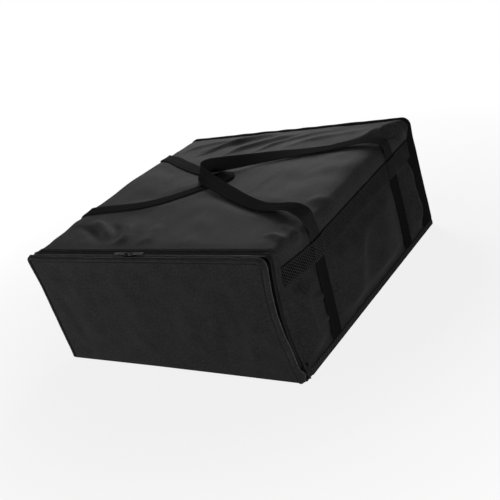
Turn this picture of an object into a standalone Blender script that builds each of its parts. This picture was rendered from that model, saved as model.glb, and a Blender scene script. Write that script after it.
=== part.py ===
# Insulated pizza delivery bag: foam walls lined with foil, a front flap on a two-way zip,
# mesh bands over sewn side straps, and a pair of webbing loops that lie crossed on the top.
# The bag stands on z = 0, its front faces -Y, and the origin is under its middle.
import math

import bmesh
import bpy
from mathutils import Vector

mm = 0.001

# Whole bag
bag_width = 500 * mm
bag_depth = 500 * mm
bag_height = 205 * mm
corner_radius = 13 * mm
seat = 0.3 * mm

# Wall layers, from the outside in
cloth = 1.0 * mm
foam = 7.0 * mm
lining = 0.6 * mm
base_board_thickness = 2.0 * mm
flap_foam_thickness = 6.0 * mm

# Seams and bindings
side_seam_drop = 30 * mm
base_binding_height = 12 * mm
binding = 1.0 * mm
back_binding_width = 10 * mm
rim_binding = 2.0 * mm

# Webbing and mesh
webbing_width = 26 * mm
webbing = 1.8 * mm
band = 1.2 * mm
band_height = 30 * mm
band_ramp = 3.0 * mm
pivot_above_seam = 2.0 * mm
right_front_strap_at = -0.280 * bag_depth
right_rear_strap_at = 0.280 * bag_depth
left_front_strap_at = -0.200 * bag_depth
left_rear_strap_at = 0.304 * bag_depth

# Flap and its hinge seam
hinge_bead_radius = 1.7 * mm
flap_stand_off = 2.0 * mm

# Zip
chain_behind_front = 12 * mm
zip_foot = 12 * mm
chain_foot = 26 * mm
tooth_pitch = 5.0 * mm
tooth_reach = 0.8 * mm
tooth_side_gap = 0.35 * mm
tooth_taper = 0.45 * mm
tooth_thickness = 2.0 * mm
flap_tooth_phase = 0.25
body_tooth_phase = 0.75
teeth_proud = 0.6 * mm
core_width = 1.6 * mm
tape = 0.8 * mm
tape_sunk = 0.2 * mm
flap_tape_width = 2.0 * mm
body_tape_width = 15 * mm
stop_length = 5.0 * mm

# Sliders and pulls
meeting_point = -0.042 * bag_width
slider_length = 13 * mm
slider_width = 9.0 * mm
slider_tail_width = 6.5 * mm
slider_plate = 1.6 * mm
slider_round = 1.2 * mm
lip_width = 1.0 * mm
crown_length = 8.0 * mm
crown_width = 2.0 * mm
crown_wire = 1.2 * mm
pull_bar = 1.4 * mm
pull_length = 24 * mm
pull_width = 6.0 * mm
pull_arm = 1.4 * mm
pull_window = 5.5 * mm
pull_end_radius = 2.0 * mm

overrun = 5.0 * mm
arc_steps = 6
samples_per_span = 3

# Places that follow from the sizes above
strap_stack = seat + webbing + seat + band
shell_half = bag_width / 2 - strap_stack
back_face = bag_depth / 2 - binding - seat
front_face = -bag_depth / 2
seam_height = bag_height - side_seam_drop
pivot_height = seam_height + pivot_above_seam
pivot_across = bag_width / 2 + seat
strap_across = shell_half + seat + webbing / 2
foam_inset = cloth + seat
lining_inset = foam_inset + foam + seat
wall = lining_inset + lining
chain_at = front_face + chain_behind_front
core_edge = tooth_reach + seat
flap_core_front = chain_at - core_edge - core_width
body_core_back = chain_at + core_edge + core_width
body_tape_front = body_core_back + seat
body_tape_back = body_tape_front + body_tape_width
rim_front = body_tape_front + seat
rim_back = rim_front + rim_binding
wall_front = rim_back + seat
foam_back = back_face - cloth - seat
wall_back = foam_back - foam
back_lining_front = wall_back - seat - lining
hinge_height = flap_stand_off
hinge_at = front_face + flap_stand_off
flap_foot = hinge_height + flap_stand_off

# The loops' routes from the front foot to the rear one: across as a share of half the width
# towards the loop's own side, along as a share of half the depth, lift in webbing widths
# over the lowest place where the strap is free, and lean in degrees from flat to on edge.
right_route_shares = (
    (0.990, -0.566, -0.62, 0),
    (0.989, -0.579, -0.14, 0),
    (0.956, -0.563, 0.30, 0),
    (0.874, -0.521, 0.48, 0),
    (0.773, -0.473, 0.37, 0),
    (0.651, -0.423, 0.13, 0),
    (0.518, -0.369, 0.00, 0),
    (0.356, -0.283, 0.01, 2),
    (0.173, -0.172, 0.05, 8),
    (-0.029, -0.049, 0.10, 20),
    (-0.174, 0.046, 0.08, 39),
    (-0.246, 0.104, 0.09, 54),
    (-0.268, 0.146, 0.13, 68),
    (-0.245, 0.190, 0.14, 86),
    (-0.165, 0.250, 0.04, 117),
    (0.012, 0.340, 0.00, 146),
    (0.203, 0.410, 0.00, 162),
    (0.396, 0.467, 0.00, 176),
    (0.579, 0.506, 0.00, 180),
    (0.701, 0.531, 0.08, 180),
    (0.815, 0.544, 0.16, 180),
    (0.910, 0.550, 0.10, 180),
    (0.978, 0.555, -0.12, 180),
    (0.990, 0.562, -0.62, 180),
)
left_route_shares = (
    (0.800, -0.352, 0.00, 0),
    (0.560, -0.302, 0.00, 0),
    (0.400, -0.222, 0.00, 0),
    (0.290, -0.128, 0.00, 0),
    (0.190, -0.036, 0.00, 0),
    (0.115, 0.030, 0.00, 4),
    (0.052, 0.075, 0.03, 20),
    (0.030, 0.118, 0.05, 30),
    (0.070, 0.160, 0.03, 22),
    (0.170, 0.198, 0.00, 6),
    (0.300, 0.238, 0.00, 0),
    (0.460, 0.308, 0.00, 0),
    (0.650, 0.412, 0.00, 0),
    (0.820, 0.520, 0.00, 0),
)


def clear_scene():
    for old in list(bpy.data.objects):
        bpy.data.objects.remove(old, do_unlink=True)


def collection(name):
    made = bpy.data.collections.new(name)
    bpy.context.scene.collection.children.link(made)
    return made


def material(name, colour, roughness, metallic=0.0):
    made = bpy.data.materials.new(name)
    made.use_nodes = True
    shader = made.node_tree.nodes["Principled BSDF"]
    shader.inputs["Base Color"].default_value = (*colour, 1)
    shader.inputs["Roughness"].default_value = roughness
    shader.inputs["Metallic"].default_value = metallic
    made.diffuse_color = (*colour, 1)
    return made


def oxford(name):
    return material(name, (0.030, 0.030, 0.032), 0.85)


def webbing_finish(name):
    return material(name, (0.012, 0.012, 0.013), 0.75)


def foam_finish(name):
    return material(name, (0.85, 0.86, 0.86), 0.9)


def foil_finish(name):
    return material(name, (0.75, 0.76, 0.78), 0.3, 1.0)


def steel_finish(name):
    return material(name, (0.35, 0.35, 0.36), 0.35, 1.0)


def board_finish(name):
    return material(name, (0.10, 0.10, 0.10), 0.6)


def tooth_finish(name):
    return material(name, (0.020, 0.020, 0.020), 0.45)


def add(name, data, group, finish=None):
    made = bpy.data.objects.new(name, data)
    group.objects.link(made)
    if finish:
        data.materials.append(finish(name))
    return made


def closed_data(name, cage):
    # the cage as mesh data with every face pointing out
    bmesh.ops.recalc_face_normals(cage, faces=cage.faces)
    if cage.calc_volume(signed=True) < 0:
        bmesh.ops.reverse_faces(cage, faces=cage.faces)
    data = bpy.data.meshes.new(name)
    cage.to_mesh(data)
    cage.free()
    return data


def anchor(name, place):
    made = bpy.data.objects.new(name, None)
    parts.objects.link(made)
    made.location = place
    bpy.context.view_layer.update()
    return made


def carry(parent, *pieces):
    bpy.context.view_layer.update()
    for piece in pieces:
        piece.parent = parent
        piece.matrix_parent_inverse = parent.matrix_world.inverted()


def as_mesh(source):
    # a curve's evaluated solid as a mesh object of the same name, with its caps welded
    bpy.context.view_layer.update()
    graph = bpy.context.evaluated_depsgraph_get()
    data = bpy.data.meshes.new_from_object(source.evaluated_get(graph))
    name, group, place = source.name, source.users_collection[0], source.matrix_world.copy()
    bpy.data.objects.remove(source, do_unlink=True)
    welded = bmesh.new()
    welded.from_mesh(data)
    bmesh.ops.remove_doubles(welded, verts=welded.verts, dist=seat / 100)
    bmesh.ops.recalc_face_normals(welded, faces=welded.faces)
    welded.to_mesh(data)
    welded.free()
    made = bpy.data.objects.new(name, data)
    group.objects.link(made)
    made.matrix_world = place
    return made


def boolean(target, operation, *others):
    for other in others:
        step = target.modifiers.new(other.name, "BOOLEAN")
        step.operation = operation
        step.object = other
        other.hide_render = True
        other.display_type = "WIRE"


def outlined(name, loops, thickness, finish=None, group=None):
    # a flat outline, with any holes, filled and given its thickness about its own plane
    curve = bpy.data.curves.new(name, "CURVE")
    curve.dimensions = "2D"
    curve.fill_mode = "BOTH"
    curve.extrude = thickness / 2
    for loop in loops:
        spline = curve.splines.new("POLY")
        spline.points.add(len(loop) - 1)
        for point, (u, v) in zip(spline.points, loop):
            point.co = (u, v, 0, 1)
        spline.use_cyclic_u = True
    return add(name, curve, group or parts, finish)


def upright(name, loops, front, back, finish=None, group=None):
    # outline in X and Z, from one depth to another
    made = outlined(name, loops, back - front, finish, group)
    made.rotation_euler.x = math.pi / 2
    made.location.y = (front + back) / 2
    return made


def level(name, loops, bottom, top, finish=None, group=None):
    # outline in X and Y, from one height to another
    made = outlined(name, loops, top - bottom, finish, group)
    made.location.z = (bottom + top) / 2
    return made


def slab(name, low, high, finish=None, group=None):
    cage = bmesh.new()
    bmesh.ops.create_cube(cage, size=1)
    for vert in cage.verts:
        vert.co = [(h - l) * c for l, h, c in zip(low, high, vert.co)]
    made = add(name, closed_data(name, cage), group or parts, finish)
    made.location = [(l + h) / 2 for l, h in zip(low, high)]
    return made


def arch(inset, foot):
    # the bag's section seen from the front, this far inside its outer face, right foot to left
    radius = max(corner_radius - inset, seat)
    middle = shell_half - inset - radius
    rise = bag_height - inset - radius
    quarter = [math.pi / 2 * i / arc_steps for i in range(arc_steps + 1)]
    right = [(middle + radius * math.cos(a), rise + radius * math.sin(a)) for a in quarter]
    half = [(shell_half - inset, foot)] + right
    return half + [(-x, z) for x, z in reversed(half)]


def arch_strip(name, outer, inner, foot, front, back, finish):
    loop = arch(outer, foot) + list(reversed(arch(inner, foot)))
    return upright(name, [loop], front, back, finish)


def arch_panel(name, inset, foot, front, back, finish=None, group=None):
    return upright(name, [arch(inset, foot)], front, back, finish, group)


def side_slab(name, side, outer, inner, bottom, top, finish):
    across = sorted((side * (shell_half - outer), side * (shell_half - inner)))
    back = wall_back - seat
    return slab(name, (across[0], wall_front, bottom), (across[1], back, top), finish)


def top_and_sides():
    stand = cloth + seat
    cloth_front = body_tape_back + seat
    cloth_back = back_face - cloth - seat
    arch_strip("top_cloth", 0, cloth, seam_height + seat, cloth_front, cloth_back, oxford)
    arch_strip("top_foam", foam_inset, foam_inset + foam, seam_height + seat,
               wall_front, wall_back - seat, foam_finish)
    arch_strip("top_lining", lining_inset, wall, seam_height + seat,
               wall_front, wall_back - seat, foil_finish)
    for word, side in (("left", -1), ("right", 1)):
        across = sorted((side * (shell_half - cloth), side * shell_half))
        slab(word + "_side_cloth", (across[0], cloth_front, stand),
             (across[1], cloth_back, seam_height), oxford)
        side_slab(word + "_side_foam", side, foam_inset, foam_inset + foam,
                  stand, seam_height, foam_finish)
        side_slab(word + "_side_lining", side, lining_inset, wall,
                  stand, seam_height, foil_finish)


def back_panel():
    stand = cloth + seat
    arch_panel("back_cloth", 0, stand, back_face - cloth, back_face, oxford)
    arch_panel("back_foam", foam_inset, stand, wall_back, foam_back, foam_finish)
    arch_panel("back_lining", wall + seat, base_top() + seat,
               back_lining_front, wall_back - seat, foil_finish)


def base_layers():
    # heights of the board, the foam and the lining over the base cloth
    board = cloth + seat
    padding = board + base_board_thickness + seat
    foil = padding + foam + seat
    return board, padding, foil


def base_top():
    return base_layers()[2] + lining


def base():
    board, padding, foil = base_layers()
    cloth_front = hinge_at + hinge_bead_radius + seat
    half = shell_half - wall - seat
    back = back_lining_front - seat
    slab("base_cloth", (-shell_half, cloth_front, 0), (shell_half, back_face, cloth), oxford)
    for name, bottom, top, finish in (
        ("base_board", board, board + base_board_thickness, board_finish),
        ("base_foam", padding, padding + foam, foam_finish),
        ("base_lining", foil, foil + lining, foil_finish),
    ):
        slab(name, (-half, wall_front, bottom), (half, back, top), finish)


def bindings():
    # binding round the left, back and right bottom edges, in one U
    outer, inner = shell_half + seat + binding, shell_half + seat
    front = body_tape_front
    loop = [(outer, front), (outer, bag_depth / 2), (-outer, bag_depth / 2), (-outer, front),
            (-inner, front), (-inner, back_face + seat), (inner, back_face + seat), (inner, front)]
    level("base_binding", [loop], 0, base_binding_height, webbing_finish)
    # binding folded over the edge between the top, the sides and the back
    foot = base_binding_height + seat
    front = bag_depth / 2 - back_binding_width
    folded = as_mesh(arch_panel("back_binding", -seat - binding, foot, front, bag_depth / 2))
    folded.data.materials.append(webbing_finish("back_binding"))
    room = as_mesh(arch_panel("back_binding_room", -seat, foot - overrun,
                              front - overrun, back_face + seat, group=cutters))
    window = as_mesh(arch_panel("back_binding_window", back_binding_width, foot - overrun,
                                front - overrun, bag_depth / 2 + overrun, group=cutters))
    boolean(folded, "DIFFERENCE", room, window)
    # binding that closes the walls' raw edges round the mouth
    arch_strip("mouth_binding", foam_inset, wall, cloth + seat, rim_front, rim_back, webbing_finish)


def mesh_band(word, side, straps):
    # the mesh lies on the wall and climbs over each strap
    low, high = seat, strap_stack - band
    front, back = body_tape_back + seat, bag_depth / 2 - back_binding_width - seat
    profile = [(front, low)]
    for strap in straps:
        half = webbing_width / 2 + seat
        profile += [(strap - half - band_ramp, low), (strap - half, high),
                    (strap + half, high), (strap + half + band_ramp, low)]
    profile.append((back, low))
    inner = [(side * (shell_half + out), y) for y, out in profile]
    outer = [(side * (shell_half + out + band), y) for y, out in reversed(profile)]
    level(word + "_mesh_band", [inner + outer], seam_height - band_height, seam_height,
          webbing_finish)


def sewn_strap(name, side, at):
    across = sorted((side * (shell_half + seat), side * (shell_half + seat + webbing)))
    slab(name, (across[0], at - webbing_width / 2, base_binding_height + seat),
         (across[1], at + webbing_width / 2, pivot_height - seat), webbing_finish)


def smooth(points):
    # a Catmull-Rom curve through the points
    ends = [2 * points[0] - points[1]] + points + [2 * points[-1] - points[-2]]
    curve = []
    for a, b, c, d in zip(ends, ends[1:], ends[2:], ends[3:]):
        for i in range(samples_per_span):
            t = i / samples_per_span
            curve.append(0.5 * (2 * b + (c - a) * t + (2 * a - 5 * b + 4 * c - d) * t * t
                                + (3 * b - a - 3 * c + d) * t ** 3))
    return curve + [points[-1]]


def free_height(layer, turn):
    # the lowest a strap's middle can lie over the top panel at this lean
    free = seat + layer * (webbing + seat) + webbing / 2 * abs(math.cos(turn))
    return bag_height + free + webbing_width / 2 * math.sin(turn)


def shoulder(at, towards, turn, layer, hug):
    # up the wall from the foot and, where the loop hugs the corner, round it
    rise = bag_height - corner_radius
    lowest = free_height(layer, 0)
    points = [Vector((strap_across, at, pivot_height - lowest, turn))]
    if hug:
        radius = strap_across - shell_half + corner_radius + seat
        middle = shell_half - corner_radius
        for i in range(arc_steps + 1):
            angle = math.pi / 2 * i / arc_steps
            along = at + (towards - at) * i / (2 * arc_steps)
            points.append(Vector((middle + radius * math.cos(angle), along,
                                  rise + radius * math.sin(angle) - lowest, turn)))
    return points


def loop_sections(shares, layer, front_at, rear_at, hug):
    # the middle, width direction and face direction of the strap all along the loop
    middle = [Vector((across * bag_width / 2, along * bag_depth / 2, lift * webbing_width,
                      math.radians(lean))) for across, along, lift, lean in shares]
    start = shoulder(front_at, middle[0].y, middle[0].w, layer, hug)
    end = list(reversed(shoulder(rear_at, middle[-1].y, middle[-1].w, layer, hug)))
    line = smooth(start + middle + end)
    for point in line:
        point.w = max(point.w, 0)
        point.z += free_height(layer, point.w)
    sections = []
    for i, point in enumerate(line):
        ahead = line[min(i + 1, len(line) - 1)].xyz - line[max(i - 1, 0)].xyz
        if i in (0, len(line) - 1):
            ahead = Vector((0, 0, 1 if i == 0 else -1))
        ahead.normalize()
        across = max(point.x - (shell_half - corner_radius), 0)
        up = Vector((across, 0, max(point.z - (bag_height - corner_radius), 0)))
        up = (up - up.dot(ahead) * ahead).normalized()
        away = up.cross(ahead)
        face = math.cos(point.w) * up + math.sin(point.w) * away
        sections.append((point.xyz, ahead.cross(face), face))
    return sections


def handle(name, side, shares, layer, front_at, rear_at, hug):
    # a rectangular webbing section lofted along the loop
    cage = bmesh.new()
    rings = []
    for centre, width, face in loop_sections(shares, layer, front_at, rear_at, hug):
        ring = []
        for u, v in ((-1, -1), (1, -1), (1, 1), (-1, 1)):
            corner = centre + u * webbing_width / 2 * width + v * webbing / 2 * face
            corner.x *= side
            ring.append(cage.verts.new(corner))
        rings.append(ring)
    for one, two in zip(rings, rings[1:]):
        for i in range(4):
            j = (i + 1) % 4
            cage.faces.new((one[i], one[j], two[j], two[i]))
    cage.faces.new(rings[0])
    cage.faces.new(rings[-1])
    made = add(name, closed_data(name, cage), parts, webbing_finish)
    pivot = anchor(name + "_pivot", (side * pivot_across, 0, pivot_height))
    carry(pivot, made)


def arch_at(distance):
    # the place on the outer arch at this length from the right foot, and its outward direction
    straight = bag_height - corner_radius - zip_foot
    turn = corner_radius * math.pi / 2
    flat = 2 * (shell_half - corner_radius)
    middle, rise = shell_half - corner_radius, bag_height - corner_radius
    half = straight + turn + flat / 2
    side = 1 if distance <= half else -1
    along = min(distance, 2 * half - distance)
    if along <= straight:
        place, out = (shell_half, zip_foot + along), (1, 0)
    elif along <= straight + turn:
        angle = (along - straight) / corner_radius
        out = (math.cos(angle), math.sin(angle))
        place = (middle + corner_radius * out[0], rise + corner_radius * out[1])
    else:
        place, out = (middle - (along - straight - turn), bag_height), (0, 1)
    return Vector((side * place[0], 0, place[1])), Vector((side * out[0], 0, out[1]))


def arch_length():
    straight = bag_height - corner_radius - zip_foot
    return 2 * (straight + corner_radius * math.pi / 2 + shell_half - corner_radius)


def tooth_rack(name, towards, phase):
    # a core with tapered teeth, laid out straight along X, then bent round the arch
    start = chain_foot - zip_foot
    end = arch_length() - start
    count = int((end - start) / tooth_pitch)
    margin = (end - start - count * tooth_pitch) / 2
    tooth = tooth_pitch / 2 - 2 * tooth_side_gap
    centres = [start + margin + (i + phase) * tooth_pitch for i in range(count)]
    stations = [start] + [c + s * tooth / 2 for c in centres for s in (-1, 1)] + [end]
    root = chain_at - towards * core_edge
    back = root - towards * core_width
    corners = [(root, -teeth_proud), (root, tooth_thickness - teeth_proud),
               (back, tooth_thickness - teeth_proud), (back, -teeth_proud)]
    cage = bmesh.new()
    rings = [[cage.verts.new((s, y, inset)) for y, inset in corners] for s in stations]
    roots = []
    for index, (one, two) in enumerate(zip(rings, rings[1:])):
        for i in range(4):
            j = (i + 1) % 4
            face = cage.faces.new((one[i], one[j], two[j], two[i]))
            if i == 0 and index % 2:
                roots.append(face)
    cage.faces.new(rings[0])
    cage.faces.new(rings[-1])
    tips = bmesh.ops.extrude_discrete_faces(cage, faces=roots)["faces"]
    for tip in tips:
        centre = sum(v.co.x for v in tip.verts) / len(tip.verts)
        for vert in tip.verts:
            vert.co.y = chain_at + towards * tooth_reach
            vert.co.x += tooth_taper if vert.co.x < centre else -tooth_taper
    for vert in cage.verts:
        place, out = arch_at(vert.co.x)
        depth = vert.co.y
        vert.co = place - vert.co.z * out
        vert.co.y = depth
    return add(name, closed_data(name, cage), parts, tooth_finish)


def body_zip():
    arch_strip("body_zip_tape", tape_sunk, tape_sunk + tape, zip_foot,
               body_tape_front, body_tape_back, oxford)
    tooth_rack("body_zip_teeth", -1, body_tooth_phase)
    for word, side in (("left", -1), ("right", 1)):
        across = sorted((side * (shell_half + teeth_proud),
                         side * (shell_half + teeth_proud - tooth_thickness)))
        top = chain_foot - seat
        slab(word + "_zip_stop", (across[0], chain_at + seat, top - stop_length),
             (across[1], body_core_back, top), steel_finish)


def flap():
    # the outer cloth is a shallow tray whose rim turns back to the zip tape
    rim_end = flap_core_front - seat - flap_tape_width - seat
    tray = as_mesh(arch_panel("flap_cloth", 0, flap_foot, front_face, rim_end))
    tray.data.materials.append(oxford("flap_cloth"))
    room = as_mesh(arch_panel("flap_cloth_room", cloth, flap_foot - overrun,
                              front_face + cloth, rim_end + overrun, group=cutters))
    boolean(tray, "DIFFERENCE", room)
    foam_front = front_face + cloth + seat
    lining_front = foam_front + flap_foam_thickness + seat
    padding = arch_panel("flap_foam", foam_inset, flap_foot + seat, foam_front,
                         foam_front + flap_foam_thickness, foam_finish)
    foil = arch_panel("flap_lining", foam_inset, flap_foot + seat, lining_front,
                      lining_front + lining, foil_finish)
    edge = arch_strip("flap_zip_tape", tape_sunk, tape_sunk + tape, zip_foot,
                      rim_end + seat, flap_core_front - seat, oxford)
    teeth = tooth_rack("flap_zip_teeth", 1, flap_tooth_phase)
    pivot = anchor("flap_hinge", (0, hinge_at, hinge_height))
    carry(pivot, tray, padding, foil, edge, teeth)


def hinge_seam():
    bead = bmesh.new()
    bmesh.ops.create_cone(bead, cap_ends=True, segments=12, radius1=hinge_bead_radius,
                          radius2=hinge_bead_radius, depth=2 * (shell_half - binding))
    made = add("flap_hinge_seam", closed_data("flap_hinge_seam", bead), parts, webbing_finish)
    made.rotation_euler.y = math.pi / 2
    made.location = (0, hinge_at, hinge_height)


def half_ring(middle, foot, half, rise):
    turns = [math.pi * i / (2 * arc_steps) for i in range(2 * arc_steps + 1)]
    return [(middle + half * math.cos(a), foot + rise * math.sin(a)) for a in turns]


def slider(word, side):
    # the plate rides over the chain, its lip hangs beside the body's teeth
    end = meeting_point + side * seat / 2
    nose, tail = end, end + side * slider_length
    bottom = bag_height + teeth_proud + seat
    top = bottom + slider_plate
    shape = [(nose, -slider_width / 2), (nose, slider_width / 2),
             (nose + side * slider_length / 2, slider_width / 2),
             (tail, slider_tail_width / 2), (tail, -slider_tail_width / 2),
             (nose + side * slider_length / 2, -slider_width / 2)]
    plate = as_mesh(level(word + "_slider", [[(x, chain_at + y) for x, y in shape]], bottom, top))
    plate.data.materials.append(steel_finish(word + "_slider"))
    lip_front = body_core_back + seat
    across = sorted((nose + side * slider_round, nose + side * slider_length / 2))
    lip = slab(word + "_lip", (across[0], lip_front, bag_height - tape_sunk + seat),
               (across[1], lip_front + lip_width, top - seat), group=cutters)
    middle = nose + side * slider_length / 2
    rise = seat + pull_bar + seat + crown_wire
    outer = half_ring(middle, top - seat, crown_length / 2, rise + seat)
    inner = half_ring(middle, top - seat, crown_length / 2 - crown_wire, rise + seat - crown_wire)
    crown = as_mesh(upright(word + "_crown", [outer + inner[::-1]], chain_at - crown_width / 2,
                            chain_at + crown_width / 2, group=cutters))
    boolean(plate, "UNION", lip, crown)
    carry(anchor(word + "_slider_rail", (end, chain_at, bottom)), plate)
    pull(word, side, middle, top + seat + pull_bar / 2)


def rounded_end(start, end, half, radius, side):
    # a bar's outline from start to end with its far corners rounded
    quarter = [math.pi / 2 * i / arc_steps for i in range(arc_steps + 1)]
    far = end - side * radius
    bend = [(far + side * radius * math.cos(a), half - radius + radius * math.sin(a)) for a in quarter]
    return [(start, -half), (start, half)] + bend[::-1] + [(x, -y) for x, y in bend]


def pull(word, side, pivot_x, pivot_z):
    # a flat tab whose cross bar passes under the slider's crown
    start = pivot_x - side * pull_bar / 2
    end = start + side * pull_length
    half, inner = pull_width / 2, pull_width / 2 - pull_arm
    loop = rounded_end(start, end, half, pull_end_radius, side)
    near, far = start + side * pull_bar, start + side * (pull_bar + pull_window)
    window = [(near, inner), (near, -inner), (far, -inner), (far, inner)]
    loops = [[(x, chain_at + y) for x, y in shape] for shape in (loop, window)]
    tab = level(word + "_pull_tab", loops, pivot_z - pull_bar / 2, pivot_z + pull_bar / 2,
                steel_finish)
    carry(anchor(word + "_pull_pivot", (pivot_x, chain_at, pivot_z)), tab)


clear_scene()
parts = collection("pizza_delivery_bag")
cutters = collection("cutters")
cutters.hide_render = True
top_and_sides()
back_panel()
base()
bindings()
mesh_band("right", 1, (right_front_strap_at, right_rear_strap_at))
mesh_band("left", -1, (left_front_strap_at, left_rear_strap_at))
sewn_strap("right_front_strap", 1, right_front_strap_at)
sewn_strap("right_rear_strap", 1, right_rear_strap_at)
sewn_strap("left_front_strap", -1, left_front_strap_at)
sewn_strap("left_rear_strap", -1, left_rear_strap_at)
handle("right_handle", 1, right_route_shares, 1, right_front_strap_at, right_rear_strap_at, False)
handle("left_handle", -1, left_route_shares, 0, left_front_strap_at, left_rear_strap_at, True)
body_zip()
hinge_seam()
flap()
slider("left", -1)
slider("right", 1)
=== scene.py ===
import math

import bmesh
import bpy
import numpy as np
from mathutils import Matrix, Vector


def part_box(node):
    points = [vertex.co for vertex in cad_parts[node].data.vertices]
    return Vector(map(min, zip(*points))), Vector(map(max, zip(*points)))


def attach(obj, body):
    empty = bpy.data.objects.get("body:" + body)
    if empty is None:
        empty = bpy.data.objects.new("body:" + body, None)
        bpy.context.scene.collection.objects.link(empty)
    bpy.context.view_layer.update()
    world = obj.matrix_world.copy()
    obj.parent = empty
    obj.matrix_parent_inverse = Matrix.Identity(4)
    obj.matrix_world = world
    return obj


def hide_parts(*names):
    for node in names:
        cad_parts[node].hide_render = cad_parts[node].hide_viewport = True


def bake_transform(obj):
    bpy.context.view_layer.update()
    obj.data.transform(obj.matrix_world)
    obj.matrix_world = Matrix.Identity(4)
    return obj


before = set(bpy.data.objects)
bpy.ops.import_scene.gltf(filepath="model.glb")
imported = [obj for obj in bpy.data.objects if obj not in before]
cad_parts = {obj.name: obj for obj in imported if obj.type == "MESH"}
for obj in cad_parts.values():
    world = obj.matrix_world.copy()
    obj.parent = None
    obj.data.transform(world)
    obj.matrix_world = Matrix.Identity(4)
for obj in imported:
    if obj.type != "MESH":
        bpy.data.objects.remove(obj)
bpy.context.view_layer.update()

mm = 0.001

bag = {
    "half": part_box("top_cloth")[1].x,
    "height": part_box("top_cloth")[1].z,
    "front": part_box("flap_cloth")[0].y,
    "back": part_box("back_cloth")[1].y,
    "seam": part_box("right_side_cloth")[1].z,
    "bandFoot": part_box("right_mesh_band")[0].z,
    "chain": -238 * mm,
    "width": 500 * mm,
    "depth": 500 * mm,
    "corner": 13 * mm,
    "cloth": 1.0 * mm,
    "foam": 7.0 * mm,
    "foamInset": 1.6 * mm,
    "foil": 0.6 * mm,
    "seat": 0.3 * mm,
}
bag["flat"] = bag["half"] - bag["corner"]
bag["toFloor"] = bag["flat"] + bag["corner"] * math.pi / 2 + bag["height"] - bag["corner"]
bag["toSeam"] = bag["toFloor"] - bag["seam"]
bag["foilInset"] = bag["foamInset"] + bag["foam"] + bag["seat"]
tapeFront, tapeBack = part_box("body_zip_tape")[0].y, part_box("body_zip_tape")[1].y
strapPlaces = {1: (-140 * mm, 140 * mm), -1: (-100 * mm, 152 * mm)}


def eased(value, low, high):
    share = np.clip((value - low) / (high - low), 0, 1)
    return share * share * (3 - 2 * share)


def ripples(x, y, wave, seed, count=16):
    # smooth, repeatable unevenness, mostly between -1 and 1
    draw = np.random.default_rng(seed)
    total = 0
    for _ in range(count):
        turn, phase = draw.uniform(0, 2 * math.pi, 2)
        pace = 2 * math.pi / (wave * draw.uniform(0.7, 1.7))
        total = total + np.sin(pace * (x * math.cos(turn) + y * math.sin(turn)) + phase)
    return total / math.sqrt(count)


ridgeLook = {"bend": 0.06, "slim": 0.7, "widen": 0.6, "rise": (-0.1, 0.3), "fall": (0.7, 1.1)}


def ridges(x, y, folds):
    # soft folds, each a ridge from one place to another, in millimetres on the unrolled cloth
    total = 0
    for (x0, y0), (x1, y1), width, height in folds:
        start = np.array([x0, y0]) * mm
        way = np.array([x1 - x0, y1 - y0]) * mm
        length = np.hypot(*way)
        way = way / length
        along = ((x - start[0]) * way[0] + (y - start[1]) * way[1]) / length
        bend = ridgeLook["bend"] * length * np.sin(math.pi * along)
        across = (y - start[1]) * way[0] - (x - start[0]) * way[1] - bend
        wide = width * mm * (ridgeLook["slim"] + ridgeLook["widen"] * np.clip(along, 0, 1))
        ends = eased(along, *ridgeLook["rise"]) * (1 - eased(along, *ridgeLook["fall"]))
        total = total + height * mm * ends * np.exp(-((across / wide) ** 2))
    return total


# How far each corner of the loaded bag has settled from the plain box, in millimetres
settled = {
    (-1, -1, 1): (-2.6, 0.8, 0.8),
    (1, -1, 1): (7.0, 4.0, 1.7),
    (-1, 1, 1): (-2.6, 2.0, 0.6),
    (1, 1, 1): (0.6, 0.1, 2.6),
    (-1, -1, -1): (2.8, -1.0, 0.0),
    (1, -1, -1): (-4.6, -6.0, 0.0),
    (-1, 1, -1): (0.0, -1.0, 0.0),
    (1, 1, -1): (5.0, -6.5, 0.0),
}
sag = {
    "mouthIn": 8 * mm, "mouthForward": 8 * mm, "cornerIn": 11 * mm,
    "mouthDepth": (150 * mm, 242 * mm), "mouthSide": (60 * mm, 246 * mm),
    "edgeLift": 8 * mm, "edgeOut": 2.5 * mm, "edgeRound": 1.4,
    "edgeSide": (40 * mm, 246 * mm), "edgeHeight": (60 * mm, 205 * mm),
    "tipOut": 5 * mm, "tipUp": 3 * mm,
    "tipSide": (190 * mm, 246 * mm), "tipDepth": (200 * mm, 246 * mm), "tipHeight": (140 * mm, 205 * mm),
    "sliderRun": 218 * mm, "held": 5 * mm, "free": 34 * mm,
}


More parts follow.
